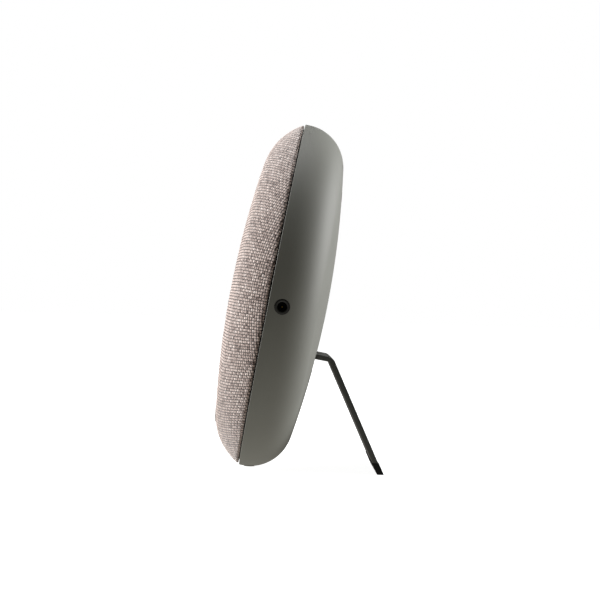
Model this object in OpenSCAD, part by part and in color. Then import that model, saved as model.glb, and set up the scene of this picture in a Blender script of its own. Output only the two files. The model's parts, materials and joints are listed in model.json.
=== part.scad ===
// Round smart display: a fabric-fronted disc that leans back on a strap stand.
// Millimetres. +Z is up, the fabric faces -Y, and the stand is behind, at +Y.
// Everything in the disc is drawn upright about the disc's axis, with Y = 0 at the seam
// between fabric and shell, and placed() then leans it back.

/* [Disc] */
// Outside diameter of the shell
shell_d = 204; // [190:1:250]
// How far the rear dome stands behind the seam
rear_depth = 33; // [32:0.5:42]
// Radius that turns the rear dome into the rim
rear_corner_r = 24.6; // [18:0.2:28]
// Straight band of the rim behind the seam
rim_band = 2.2; // [1:0.1:4]
// Wall of the rear shell
shell_wall = 2.5; // [2:0.1:3.2]
// How far the fabric dome stands in front of the seam
front_depth = 24.4; // [22:0.2:30]
// Radius that turns the fabric dome into its edge
front_corner_r = 32.2; // [26:0.2:36]
// How far behind the seam that radius has its centre
front_corner_drop = 13.2; // [8:0.2:15]
// Step from the rim in to the fabric's edge
fabric_step = 0.8; // [0.4:0.1:1.5]
// Thickness of the fabric
fabric_t = 1.2; // [0.8:0.1:1.6]
// Thickness of the grille behind the fabric
grille_t = 2.2; // [1.6:0.1:3]
// Gap at the seam
seam_gap = 0.7; // [0.4:0.1:1.5]
// Lean of the disc from upright, in degrees
lean = 9.3; // [6:0.1:14]

/* [Stand] */
// Width of the strap
strap_w = 58; // [48:1:70]
// Thickness of the strap
strap_t = 3; // [2.4:0.1:3.4]
// Angle between the open leg and the back of the disc
leg_angle = 34.2; // [26:0.2:40]
// Hinge pin to the start of the bend
arm_len = 13.3; // [12:0.1:18]
// Inside radius of the bend
bend_r = 2.5; // [2:0.1:5]
// Height of the rubber foot
foot_h = 6.6; // [5:0.1:12]
// How far the foot stands out from the strap on each face
foot_lip = 0.3; // [0.1:0.1:0.8]
// Thickness of the strap's tongue inside the foot
tongue_t = 1.4; // [1:0.1:1.8]
// Hinge pin diameter
pin_d = 4; // [3:0.1:4.2]
// Outside diameter of the strap's rolled eye
eye_d = 7; // [6.6:0.1:7.4]
// Hinge pin below the disc's centre
pin_drop = 30.35; // [28:0.1:36]
// Hinge pin in from the middle of the rear dome
pin_inset = 8; // [8:0.1:10]

/* [Display] */
// Lamps in a row
led_columns = 25; // [15:1:25]
// Rows of lamps
led_rows = 7; // [5:1:7]
// Spacing of the lamps
led_pitch = 5; // [4:0.1:5.2]
// Display above the disc's centre
display_rise = 30; // [28:0.5:34]

/* [Sound] */
// Diameter of the driver's flange, and the radiator's
driver_d = 64; // [56:1:66]
// Driver and radiator each side of the middle
driver_x = 36; // [34:0.5:38]
// Driver and radiator below the disc's centre
driver_drop = 36; // [35:0.5:38]
// Travel of the cone each way
cone_travel = 1.5; // [0.5:0.1:2]
// Travel of the passive radiator each way
radiator_travel = 2; // [0.5:0.1:2.5]

/* [Controls] */
// Diameter of a button
button_d = 9; // [7:0.1:10]
// Spacing of the buttons
button_pitch = 18; // [17:0.5:20]
// Buttons above the disc's centre
button_rise = 62; // [60:0.5:66]
// Travel of a button
button_travel = 0.6; // [0.3:0.1:0.8]
// Travel of the microphone switch
slider_travel = 3; // [2:0.1:4]

/* [Power inlet] */
// Bore of the inlet
inlet_bore_d = 4.9; // [4:0.1:5.5]
// Outside diameter of the inlet's ring
inlet_ring_d = 7.9; // [7:0.1:9]
// Inlet behind the seam
inlet_depth = 7.25; // [7.2:0.05:9]
// Inlet below the disc's centre
inlet_drop = 6.25; // [0:0.25:10]
// Diameter of the contact pin
inlet_pin_d = 1.65; // [1.2:0.05:2]

/* [Badge] */
// Width of the blank badge
badge_w = 32; // [20:1:40]
// Height of the badge
badge_h = 9; // [6:0.5:12]
// Badge below the disc's centre
badge_drop = 75; // [70:0.5:80]
// How far the badge stands out from the fabric
badge_t = 0.6; // [0.4:0.1:1]

/* [Fits] */
// Running clearance on the radius of the hinge pin
pin_clearance = 0.05; // [0.02:0.01:0.09]
// Gap between a moving piece and its neighbour
move_gap = 0.35; // [0.3:0.05:0.5]
// Gap between fixed pieces that slip together
slip_gap = 0.2; // [0.1:0.05:0.4]

/* [Hidden] */
$fn = 48;
round_fn = 144;    // facets of the big round shapes
cap_steps = 8;     // straight steps along a shallow cap's outline
corner_steps = 12; // and along a corner arc
eps = 0.01;

// Disc outlines
shell_r = shell_d / 2;
edge_r = shell_r - fabric_step;
rear_corner_x = shell_r - rear_corner_r;
front_corner_x = edge_r - sqrt(pow(front_corner_r, 2) - pow(front_corner_drop, 2));
rear_cap_r = cap_radius(rear_corner_x, rim_band, rear_corner_r, rear_depth);
front_cap_r = cap_radius(front_corner_x, -front_corner_drop, front_corner_r, front_depth);
front_cap_angle = atan2(front_corner_x, front_cap_r - front_depth - front_corner_drop);
grille_in = fabric_t + grille_t;   // fabric's outer face to the grille's inner face

// Place of the disc: it touches the table, and the origin is under the middle of the whole
centre_z = rim_band * sin(lean) + rear_corner_x * cos(lean) + rear_corner_r;
front_y = lean > front_cap_angle
  ? front_corner_drop * cos(lean) - front_corner_x * sin(lean) - front_corner_r
  : (front_cap_r - front_depth) * cos(lean) - front_cap_r;

// Stand, in the disc's own frame: pin, bend and leg
pin_y = rear_depth - pin_inset;
pin_z = -pin_drop;
eye_r = eye_d / 2;
leg_turn = 90 - leg_angle;         // the bend turns the arm down through this angle
leg_world = leg_angle - lean;      // the open leg from upright
bend_y = pin_y + arm_len;
bend_z = pin_z - strap_t / 2 - bend_r;
bend_mid_r = bend_r + strap_t / 2;
bend_steps = 10;
tongue_in = 4;                     // the tongue is this much narrower than the strap
leg_y = bend_y + bend_mid_r * sin(leg_turn);
leg_z = bend_z + bend_mid_r * cos(leg_turn);
leg_top_y = leg_y * cos(lean) + leg_z * sin(lean);
leg_top_z = centre_z - leg_y * sin(lean) + leg_z * cos(lean);
leg_foot_y = leg_top_y + leg_top_z * tan(leg_world);
back_y = leg_foot_y + (strap_t / 2 + foot_lip) / cos(leg_world);
shift_y = -(front_y + back_y) / 2;

// Slot for the stand
slot_clear = 0.5;
slot_reach = rear_depth - pin_y;
slot_top = pin_z + strap_t / 2 + slot_clear;
slot_low = pin_z - slot_reach * tan(leg_angle) - strap_t / 2 / cos(leg_angle) - slot_clear;
slot_w = strap_w + 2 * slot_clear;
slot_h = slot_top - slot_low;
slot_mid_z = (slot_top + slot_low) / 2;
bezel_t = 1.2;
slot_r = 1.2;

// Mid frame
plate_front = -9;                  // front face of the plate that carries everything
plate_t = 3;
plate_back = plate_front + plate_t;
skirt_t = 3;
frame_r = dome_x(front_corner_x, -front_corner_drop, front_corner_r, grille_in, -plate_front) - 0.7;
flange_y = 0.8;
flange_t = 2;
flange_back = flange_y + flange_t;
flange_r = shell_r - shell_wall - slip_gap;
hem_y = -seam_gap - fabric_t;      // back face of the grille
hem_r = frame_r + slip_gap;        // inner edge of the folded-in fabric
grille_screw_r = frame_r + 4.2;
screw_count = 6;

// Rear fastenings
post_x = 28;
post_z = shell_r - 24;
post_r = 4;
post_front = 10;
boss_r = 4.5;
shell_screw_d = 2.5;
shell_head_d = 5;

// Hinge bracket
ear_x = strap_w / 2 + move_gap;
ear_t = 2;
ear_r = eye_r - 0.1;
washer_t = 0.8;
eye_half = ear_x - washer_t - move_gap;
bracket_t = 1.5;
bracket_y = pin_y - eye_r - 0.8 - bracket_t;
bracket_post_x = ear_x + ear_t + 4.6;
bracket_post_dz = 4.5;
bracket_half = bracket_post_x + 3.6;

// Display stack
display_w = led_columns * led_pitch + 7;
display_h = led_rows * led_pitch + 7;
led_board_t = 1.6;
lamp = 2;
lamp_t = 0.8;
grid_t = 3.2;
film_t = 0.4;
display_screw_x = display_w / 2 - 2.4;
display_screw_z = display_h / 2 - 2.4;
led_front = plate_front - led_board_t;

// Main board
board_w = 116;
board_h = 54;
board_t = 1.6;
board_z = 33;
board_y = 4;
board_back = board_y + board_t;
board_hole_x = board_w / 2 - 5;
board_hole_z = board_h / 2 - 5;
chip_t = 1.4;
can_w = 34;
can_h = 3;
pad_t = 1;
spreader_y = board_back + can_h + pad_t;
spreader_t = 2;

// Speakers
tub_wall = 2;
tub_clear = 3;
seal_t = 0.8;
tub_r = driver_d / 2 + tub_clear;
tub_back = 16.5;
hole_r = driver_d / 2 - 4;
flange_in_r = hole_r - 1;
driver_flange_t = 1.5;
surround_out_r = hole_r - 0.5;
cone_r = surround_out_r - 6;
cone_front = plate_front - driver_flange_t;
coil_r = 10;
coil_t = 0.6;
pole_r = coil_r - 0.6 - move_gap;
top_plate_r = 20;
top_plate_hole_r = coil_r + coil_t + move_gap;
magnet_r = 22;
magnet_t = 2 * cone_travel + 2;     // room for the coil to travel behind the top plate
top_plate_t = 2;
top_plate_y = 3.4;
magnet_y = top_plate_y + top_plate_t;
yoke_y = magnet_y + magnet_t;
yoke_t = 2;
spider_y = -2.4;
speaker_screw_r = driver_d / 2 - 2.2;
cone_lip_y = cone_front - 1.2;
cone_neck_y = spider_y - 2.6;
coil_end_y = top_plate_y + top_plate_t + 0.5;
dust_r = coil_r * 1.28;

// Buttons
button_hole_d = button_d + 2 * move_gap;
button_flange_d = button_d + 3;
button_flange_t = 1;
button_far_r = norm([1.5 * button_pitch + button_flange_d / 2, button_rise + button_flange_d / 2]);
button_flange_top = rear_inner(button_far_r) - move_gap;
switch_gap = 0.3;
switch_t = 4;
button_board_t = 1.6;
button_board_back = button_flange_top - button_flange_t - button_travel - switch_gap - 1 - switch_t;
button_board_y = button_board_back - button_board_t;
slider_x = 1.5 * button_pitch + 2;
button_shift = -button_pitch / 2;  // three buttons and the switch centre on the disc together
button_sink = 0.2;
slider_w = 7;
slider_h = 4.2;
button_post_x = 1.5 * button_pitch + button_pitch / 2 + slider_w + 6;
button_post_r = 2.6;

// Inlet
socket_w = 8.2;
socket_len = 12;
socket_step = 0.6;                 // the socket is this much wider than the bushing's bore all round
bushing_len = 6;
inlet_face_x = sqrt(pow(rim_reach(inlet_depth), 2) - pow(inlet_drop, 2));
bushing_in_x = inlet_face_x - bushing_len;
socket_in_x = bushing_in_x - socket_len;
inlet_board_y = inlet_depth + socket_w / 2;
inlet_board_t = 1.6;
inlet_board_w = 18;
inlet_board_h = 16;
inlet_board_x = socket_in_x - 8;
inlet_post_r = 2.5;

// Grip pad
pad_w = 6;
pad_y = 3;
pad_half = 22;
pad_sink = 0.8;
pad_proud = 0.25;

// Microphones, antenna, ribbon and leads
mic_rise = 76;
mic_places = [-32, -11, 11, 32];
mic_t = 1;
mic_board_t = 1;
antenna_w = 26;
antenna_h = 7;
antenna_x = -44;
antenna_z = 62;
ribbon_w = 20;
lead_r = 0.6;
lead_gap = 1.4;
lead_y = 1.6;
tub_lead_x = -20;
lead_top = board_z - board_h / 2 + 5;

// Chips as x, z, width and height on the back of the main board
chips = [[36, 46, 12, 12], [36, 26, 10, 14], [-38, 46, 9, 9], [-36, 24, 14, 10], [22, 14, 6, 5],
  [-16, 14, 5, 5], [-24, 14, 4, 4], [48, 38, 4, 6], [-50, 34, 5, 8], [8, 14, 3, 3]];

// Radius of the shallow cap that runs on from a corner arc (centre cx, cd, radius r)
function cap_radius(cx, cd, r, depth) =
  (pow(cx, 2) + pow(depth - cd, 2) - pow(r, 2)) / (2 * (depth - cd - r));

// Radius at which a corner arc, set in by an inset, has a given depth
function dome_x(cx, cd, r, inset, depth) = cx + sqrt(pow(r - inset, 2) - pow(depth - cd, 2));

// Depth of the rear shell's inner face on the shallow cap, at a radius
function rear_inner(r) =
  rear_depth - rear_cap_r + sqrt(pow(rear_cap_r - shell_wall, 2) - pow(r, 2));

// Radius of the shell's side at a depth behind the seam
function rim_reach(depth) = dome_x(rear_corner_x, rim_band, rear_corner_r, 0, depth);

module placed() translate([0, shift_y, centre_z]) rotate([-lean, 0, 0]) children();

// Turns a shape drawn about Z so that its axis is Y and its top faces the back
module to_back() rotate([-90, 0, 0]) children();

// A disc or tube along Y: from y, with length len
module rod_y(r, y, len, x = 0, z = 0) translate([x, y, z]) to_back() cylinder(r = r, h = len);

// A box centred in X and Z, from y, with length len
module box_y(w, len, h, x = 0, y = 0, z = 0) translate([x - w / 2, y, z - h / 2]) cube([w, len, h]);

// A rectangle with round corners
module round_rect(w, h, r) {
  square([w - 2 * r, h], center = true);
  square([w, h - 2 * r], center = true);
  for (x = [-1, 1], z = [-1, 1]) translate([x * (w / 2 - r), z * (h / 2 - r)]) circle(r);
}

// A flat outline in X and Z, given thickness len along Y from y
module slab_y(y, len) translate([0, y + len, 0]) rotate([90, 0, 0]) linear_extrude(len) children();

// Half outline of a dome as radius and depth, set in from its outer face by inset: the
// shallow cap, then the corner arc down to the plane at base or to its own widest point
function dome_points(cx, cd, r, cap_r, depth, inset, base) =
  let (
    cap_y = depth - cap_r,
    turn = atan2(cx, cd - cap_y),
    end = base < cd ? 90 : acos((base - cd) / (r - inset))
  )
  concat(
    [[0, base]],
    [for (i = [0:cap_steps]) let (a = turn * i / cap_steps)
      [(cap_r - inset) * sin(a), cap_y + (cap_r - inset) * cos(a)]],
    [for (i = [1:corner_steps]) let (a = turn + (end - turn) * i / corner_steps)
      [cx + (r - inset) * sin(a), cd + (r - inset) * cos(a)]],
    base < cd ? [[cx + r - inset, base]] : []
  );

// Solid of the rear dome, behind the seam
module rear_solid(inset, base = 0) to_back() rotate_extrude($fn = round_fn)
  polygon(dome_points(rear_corner_x, rim_band, rear_corner_r, rear_cap_r, rear_depth, inset, base));

// Solid of the front dome, in front of a plane base ahead of the seam
module front_solid(inset, base) mirror([0, 1, 0]) to_back() rotate_extrude($fn = round_fn)
  polygon(dome_points(front_corner_x, -front_corner_drop, front_corner_r, front_cap_r,
                      front_depth, inset, base));

// A round post with a screw hole, from the inside of the rear dome forward to y
module post_solid(r, x, y, z) intersection() {
  rod_y(r, y, rear_depth - y, x, z);
  rear_solid(shell_wall / 2);
}

// A screw along Y: head at y, shank running forward or back by len, with a driver recess
module screw_y(x, y, z, head_d, head_t, d, len, dir = 1) translate([x, y, z])
  scale([1, dir, 1]) difference() {
    union() {
      rod_y(head_d / 2, -head_t, head_t);
      rod_y(d / 2, -eps, len + eps);
    }
    rod_y(head_d / 4, -head_t - eps, head_t * 0.6, $fn = 6);
  }

module slot_outline(grow) translate([0, slot_mid_z])
  round_rect(slot_w + 2 * grow, slot_h + 2 * grow, slot_r + grow);

// ---- Disc ----

module rear_shell() color([0.47, 0.46, 0.43]) placed() difference() {
  union() {
    difference() {
      rear_solid(0);
      rear_solid(shell_wall, -1);
    }
    for (x = [-1, 1], z = [-1, 1]) post_solid(post_r, x * post_x, post_front, z * post_z);
    for (x = [-1, 1], z = [-1, 1])
      post_solid(3, x * bracket_post_x, bracket_y + bracket_t, pin_z + z * bracket_post_dz);
    for (x = [-1, 1]) post_solid(button_post_r, x * button_post_x, button_board_back, button_rise);
  }
  for (x = [-1, 1], z = [-1, 1]) {
    rod_y(shell_screw_d / 2 + slip_gap, post_front - 1, rear_depth, x * post_x, z * post_z);
    rod_y(shell_head_d / 2 + slip_gap, post_front + 4, rear_depth, x * post_x, z * post_z);
    rod_y(0.9, bracket_y, 6, x * bracket_post_x, pin_z + z * bracket_post_dz);
  }
  slab_y(pin_y, rear_depth) slot_outline(bezel_t);
  for (i = [-1:1])
    rod_y(button_hole_d / 2, button_flange_top, rear_depth, button_shift + i * button_pitch, button_rise);
  box_y(slider_w + slider_travel + 2 * move_gap, rear_depth, slider_h + 2 * move_gap,
        slider_x + slider_travel / 2, button_flange_top, button_rise);
  translate([shell_r - 2 * bushing_len, inlet_depth, -inlet_drop]) rotate([0, 90, 0])
    cylinder(d = inlet_ring_d + slip_gap, h = 2 * bushing_len + 1);
  bottom_groove();
}

// The room inside the grille
module grille_inside() front_solid(grille_in, -hem_y - 1);

module front_grille() color([0.16, 0.15, 0.14]) placed() difference() {
  union() {
    difference() {
      front_solid(fabric_t, -hem_y);
      grille_inside();
    }
    difference() {
      front_solid(grille_in - 0.5, -hem_y);
      front_solid(-1, -hem_y + grille_t);
      rod_y(hem_r, -20, 30, $fn = round_fn);
    }
    for (i = [0:screw_count - 1]) rotate([0, 60 * i + 30, 0]) intersection() {
      rod_y(2.8, hem_y - 4, 4, grille_screw_r);
      front_solid(grille_in - 0.5, -hem_y);
    }
  }
  for (i = [0:screw_count - 1]) rotate([0, 60 * i + 30, 0]) rod_y(0.95, hem_y - 3.6, 8, grille_screw_r);
  // window for the lamps
  slab_y(-front_depth, front_depth) translate([0, display_rise])
    round_rect(display_w + 1, display_h + 1, 2);
  // sound slots over the driver and the radiator
  for (side = [-1, 1]) slab_y(-front_depth, front_depth) translate([side * driver_x, -driver_drop])
    for (k = [-3:3]) {
      half = sqrt(pow(hole_r - 2, 2) - pow(k * 7, 2));
      translate([0, k * 7]) round_rect(2 * half, 3.6, 1.7);
    }
  for (x = mic_places) rod_y(0.8, -front_depth, front_depth, x, mic_rise);
}

module front_fabric() color([0.68, 0.58, 0.55]) placed() difference() {
  front_solid(0, seam_gap);
  front_solid(fabric_t, -hem_y);
  rod_y(hem_r, hem_y - eps, fabric_t + 2, $fn = round_fn);
  for (i = [0:screw_count - 1]) rotate([0, 60 * i + 30, 0]) rod_y(1.5, hem_y - 0.2, 6, grille_screw_r);
}

module seam_gasket() color([0.1, 0.07, 0.06]) placed() difference() {
  rod_y(flange_r - 0.4, -seam_gap, seam_gap + flange_y, $fn = round_fn);
  rod_y(hem_r, -5, 10, $fn = round_fn);
  for (i = [0:screw_count - 1]) rotate([0, 60 * i + 30, 0]) rod_y(1.5, -5, 10, grille_screw_r);
}

module badge() color([0.55, 0.53, 0.5]) placed() intersection() {
  slab_y(-front_depth - 5, front_depth) translate([0, -badge_drop])
    round_rect(badge_w, badge_h, badge_h / 2 - 0.1);
  difference() {
    front_solid(-badge_t, seam_gap);
    front_solid(0, seam_gap);
  }
}

module mid_frame() color([0.2, 0.2, 0.21]) placed() difference() {
  union() {
    rod_y(frame_r, plate_front, plate_t, $fn = round_fn);
    difference() {
      rod_y(frame_r, plate_front, flange_back - plate_front, $fn = round_fn);
      rod_y(frame_r - skirt_t, plate_front, 30, $fn = round_fn);
    }
    difference() {
      rod_y(flange_r, flange_y, flange_t, $fn = round_fn);
      rod_y(frame_r - skirt_t, -5, 30, $fn = round_fn);
    }
    for (x = [-1, 1], z = [-1, 1])
      rod_y(boss_r, plate_back - eps, post_front - plate_back, x * post_x, z * post_z);
    for (x = [-1, 1], z = [-1, 1]) rod_y(3, plate_back - eps, board_y - plate_back,
      x * board_hole_x, board_z + z * board_hole_z);
    for (z = [-1, 1]) rod_y(inlet_post_r, plate_back - eps, inlet_board_y - plate_back,
      inlet_board_x + inlet_post_r, -inlet_drop + z * (inlet_board_h / 2 - inlet_post_r));
  }
  for (side = [-1, 1]) rod_y(hole_r, -20, 40, side * driver_x, -driver_drop, $fn = 96);
  for (x = [-1, 1], z = [-1, 1]) {
    rod_y(0.95, post_front - 12, 20, x * post_x, z * post_z);
    rod_y(0.9, board_y - 7, 20, x * board_hole_x, board_z + z * board_hole_z);
    rod_y(0.8, plate_front - 1, plate_t + 2, x * display_screw_x, display_rise + z * display_screw_z);
  }
  for (i = [0:screw_count - 1]) rotate([0, 60 * i + 30, 0]) rod_y(1.4, -2, 8, grille_screw_r);
  for (side = [-1, 1], i = [0:3]) rod_y(0.95, plate_front - 1, plate_t + 2,
    side * driver_x + speaker_screw_r * cos(45 + 90 * i), -driver_drop + speaker_screw_r * sin(45 + 90 * i));
  box_y(ribbon_w + 2, plate_t + 2, 4, 0, plate_front - 1, board_z - 8);
}

// A groove along the bottom of the shell for the grip pad
module bottom_groove() intersection() {
  difference() {
    rear_solid(-pad_proud);
    rear_solid(pad_sink);
  }
  bottom_wedge();
}

// The stretch of rim that the grip pad covers
module bottom_wedge() intersection() {
  rod_y(2 * shell_r, pad_y, pad_w);
  translate([-pad_half, pad_y, -2 * shell_r]) cube([2 * pad_half, pad_w, 2 * shell_r]);
}

module bottom_pad() color([0.3, 0.3, 0.29]) placed() bottom_groove();

module shell_screws() color([0.5, 0.5, 0.52]) placed() for (x = [-1, 1], z = [-1, 1])
  screw_y(x * post_x, post_front + 4, z * post_z, shell_head_d, 2, shell_screw_d * 0.76, 9, -1);

module grille_screws() color([0.5, 0.5, 0.52]) placed() for (i = [0:screw_count - 1])
  rotate([0, 60 * i + 30, 0]) screw_y(grille_screw_r, flange_back, 0, 4.4, 1.4, 1.9, 7.6, -1);

// ---- Sound ----

module speaker_tub() color([0.14, 0.14, 0.15]) placed() difference() {
  slab_y(plate_back + seal_t, tub_back - plate_back - seal_t) tub_outline(tub_r);
  slab_y(plate_back, tub_back - plate_back - tub_wall) tub_outline(tub_r - tub_wall);
  for (s = [-1, 1]) rod_z(0.9, tub_lead_x + s * lead_gap, lead_y, -driver_drop + tub_r - 5, 10);
}

module tub_seal() color([0.1, 0.1, 0.1]) placed() slab_y(plate_back, seal_t) difference() {
  tub_outline(tub_r);
  tub_outline(tub_r - tub_wall);
}

module tub_outline(r) translate([0, -driver_drop]) {
  square([2 * driver_x, 2 * r], center = true);
  for (side = [-1, 1]) translate([side * driver_x, 0]) circle(r, $fn = 96);
}

// A rod along Z from z, with length len
module rod_z(r, x, y, z, len) translate([x, y, z]) cylinder(r = r, h = len);

// The driver is on the left of the disc as seen from the front, the radiator on the right
module at_driver() translate([-driver_x, 0, -driver_drop]) children();
module at_radiator() translate([driver_x, 0, -driver_drop]) children();

// A ring along Y
module ring_y(ro, ri, y, len) difference() {
  rod_y(ro, y, len, $fn = 96);
  rod_y(ri, y - 1, len + 2, $fn = 96);
}

// A ring turned from a flat outline drawn as radius and y
module turned_y() to_back() rotate_extrude($fn = 96) children();

module driver_basket() color([0.25, 0.25, 0.26]) placed() at_driver() difference() {
  union() {
    ring_y(driver_d / 2, flange_in_r, cone_front, driver_flange_t);
    ring_y(hole_r - slip_gap, flange_in_r - 1, cone_front, 5);
    turned_y() polygon([[flange_in_r - 1, cone_front + 3], [hole_r - slip_gap, cone_front + 3],
      [hole_r - slip_gap, cone_front + 5], [top_plate_r + 0.4, top_plate_y],
      [top_plate_r - 2.6, top_plate_y], [top_plate_r - 2.6, top_plate_y - 1.6]]);
  }
  for (i = [0:3]) rod_y(1.2, cone_front - 1, 4,
    speaker_screw_r * cos(45 + 90 * i), speaker_screw_r * sin(45 + 90 * i));
  for (i = [0:5]) rotate([0, 60 * i, 0])
    box_y(9, 5.4, 40, 0, cone_front + 5.6, top_plate_r + 22.5);
}

module driver_top_plate() color([0.55, 0.55, 0.57]) placed() at_driver()
  ring_y(top_plate_r, top_plate_hole_r, top_plate_y, top_plate_t);

module driver_magnet() color([0.13, 0.13, 0.14]) placed() at_driver()
  ring_y(magnet_r, top_plate_hole_r + 3, magnet_y, magnet_t);

module driver_yoke() color([0.55, 0.55, 0.57]) placed() at_driver() union() {
  rod_y(magnet_r - 0.6, yoke_y, yoke_t);
  rod_y(pole_r, top_plate_y, yoke_y - top_plate_y + eps);
}

module driver_cone() color([0.18, 0.17, 0.16]) placed() at_driver() turned_y()
  polygon([[coil_r + coil_t, cone_neck_y], [cone_r, cone_lip_y], [cone_r, cone_lip_y + 0.7],
    [coil_r + coil_t, cone_neck_y + 1]]);

module driver_voice_coil() color([0.7, 0.42, 0.24]) placed() at_driver()
  ring_y(coil_r + coil_t, coil_r, cone_neck_y, coil_end_y - cone_neck_y);

module driver_dust_cap() color([0.15, 0.15, 0.15]) placed() at_driver() difference() {
  translate([0, cone_neck_y + dust_r * 0.8, 0]) sphere(dust_r, $fn = 96);
  translate([0, cone_neck_y + dust_r * 0.8, 0]) sphere(dust_r - 0.6, $fn = 96);
  translate([-20, cone_neck_y, -20]) cube([40, 40, 40]);
}

// A half-round roll with two flat lips, drawn as radius and y
module roll_outline(r_in, r_out, y) {
  mid = (r_in + r_out) / 2;
  roll = (r_out - r_in) / 2 - 1;
  difference() {
    union() {
      translate([r_in, y - 0.4]) square([r_out - r_in, 0.8]);
      translate([mid, y]) circle(roll);
    }
    translate([mid, y]) circle(roll - 0.8);
    translate([r_in - 1, y + 0.4]) square([r_out - r_in + 2, roll + 1]);
  }
}

module driver_surround() color([0.08, 0.08, 0.08]) placed() at_driver() turned_y()
  roll_outline(cone_r + move_gap, surround_out_r, cone_front - 0.4);

module driver_spider() color([0.72, 0.55, 0.3]) placed() at_driver()
  ring_y(top_plate_r - 2.8, coil_r + coil_t + move_gap, spider_y, 0.6);

module driver_terminals() color([0.75, 0.62, 0.3]) placed() at_driver() for (s = [-1, 1])
  box_y(2, 6, 0.6, s * lead_gap + tub_lead_x + driver_x, top_plate_y - 1, top_plate_r + 1.6);

module radiator_frame() color([0.25, 0.25, 0.26]) placed() at_radiator() difference() {
  union() {
    ring_y(driver_d / 2, flange_in_r, cone_front, driver_flange_t);
    ring_y(hole_r - slip_gap, flange_in_r - 1, cone_front, 2 + 2 * radiator_travel);
  }
  for (i = [0:3]) rod_y(1.2, cone_front - 1, 4,
    speaker_screw_r * cos(45 + 90 * i), speaker_screw_r * sin(45 + 90 * i));
}

module radiator_surround() color([0.08, 0.08, 0.08]) placed() at_radiator() turned_y()
  roll_outline(cone_r + move_gap, surround_out_r, cone_front - 0.4);

module radiator_plate() color([0.3, 0.3, 0.32]) placed() at_radiator() union() {
  rod_y(cone_r, cone_front - 0.8, 1.4, $fn = 96);
  rod_y(cone_r - 8, cone_front + 0.4, 3, $fn = 96);
}

module speaker_screws() color([0.5, 0.5, 0.52]) placed() for (side = [-1, 1], i = [0:3])
  screw_y(side * driver_x + speaker_screw_r * cos(45 + 90 * i), cone_front,
    -driver_drop + speaker_screw_r * sin(45 + 90 * i), 3.8, 1.2, 1.9, 4.2);

// ---- Display ----

module display_outline() round_rect(display_w, display_h, 1.5);

module led_board() color([0.06, 0.22, 0.14]) placed() difference() {
  slab_y(led_front, led_board_t) translate([0, display_rise]) display_outline();
  display_holes();
}

// Screw holes at the display's corners
module display_holes() for (x = [-1, 1], z = [-1, 1])
  rod_y(1.1, -40, 60, x * display_screw_x, display_rise + z * display_screw_z);

module led_lamps() color([0.92, 0.92, 0.88]) placed()
  for (i = [0:led_columns - 1], j = [0:led_rows - 1])
    box_y(lamp, lamp_t, lamp, (i - (led_columns - 1) / 2) * led_pitch, led_front - lamp_t,
          display_rise + (j - (led_rows - 1) / 2) * led_pitch);

module light_grid() color([0.9, 0.9, 0.9]) placed() difference() {
  slab_y(led_front - grid_t, grid_t) translate([0, display_rise]) difference() {
    display_outline();
    for (i = [0:led_columns - 1], j = [0:led_rows - 1])
      translate([(i - (led_columns - 1) / 2) * led_pitch, (j - (led_rows - 1) / 2) * led_pitch])
        square(led_pitch - 0.8, center = true);
  }
  display_holes();
}

module light_diffuser() color([0.85, 0.85, 0.82]) placed() difference() {
  slab_y(led_front - grid_t - film_t, film_t) translate([0, display_rise]) display_outline();
  display_holes();
}

module display_screws() color([0.5, 0.5, 0.52]) placed() for (x = [-1, 1], z = [-1, 1])
  screw_y(x * display_screw_x, led_front - grid_t - film_t, display_rise + z * display_screw_z,
          3, 1, 1.6, grid_t + film_t + led_board_t + 2.4);

module display_ribbon() color([0.85, 0.85, 0.8]) placed()
  box_y(ribbon_w, board_y - plate_front, 0.4, 0, plate_front, board_z - 8);

// ---- Electronics ----

module main_board() color([0.05, 0.2, 0.12]) placed() difference() {
  slab_y(board_y, board_t) translate([0, board_z]) round_rect(board_w, board_h, 2);
  for (x = [-1, 1], z = [-1, 1])
    rod_y(1.2, 0, 20, x * board_hole_x, board_z + z * board_hole_z);
}

module board_chips() color([0.07, 0.07, 0.08]) placed() for (c = chips)
  box_y(c[2], chip_t, c[3], c[0], board_back, c[1]);

module shield_can() color([0.72, 0.72, 0.74]) placed() difference() {
  box_y(can_w, can_h, can_w, 0, board_back, board_z + 3);
  box_y(can_w - 0.8, can_h - 0.4, can_w - 0.8, 0, board_back - eps, board_z + 3);
}

module thermal_pad() color([0.55, 0.62, 0.7]) placed()
  box_y(can_w - 6, pad_t, can_w - 6, 0, board_back + can_h, board_z + 3);

module heat_spreader() color([0.75, 0.75, 0.77]) placed() difference() {
  union() {
    slab_y(spreader_y, spreader_t) translate([0, board_z]) round_rect(board_w, board_h - 6, 3);
    for (x = [-1, 1], z = [-1, 1]) rod_y(2.6, board_back, spreader_y - board_back + eps,
      x * board_hole_x, board_z + z * board_hole_z);
  }
  for (x = [-1, 1], z = [-1, 1]) rod_y(1.2, 0, 20, x * board_hole_x, board_z + z * board_hole_z);
}

module board_screws() color([0.5, 0.5, 0.52]) placed() for (x = [-1, 1], z = [-1, 1])
  screw_y(x * board_hole_x, spreader_y + spreader_t, board_z + z * board_hole_z, 4, 1.2, 1.8,
          spreader_y + spreader_t - board_y + 5, -1);

module wifi_antenna() color([0.8, 0.6, 0.25]) placed()
  box_y(antenna_w, 0.8, antenna_h, antenna_x, plate_back, antenna_z);

module mic_board() color([0.06, 0.22, 0.14]) placed()
  slab_y(plate_front - mic_board_t, mic_board_t) translate([0, mic_rise]) round_rect(74, 7, 1.5);

module microphones() color([0.75, 0.73, 0.65]) placed() for (x = mic_places)
  box_y(3.5, mic_t, 2.6, x, plate_front - mic_board_t - mic_t, mic_rise);

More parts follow.
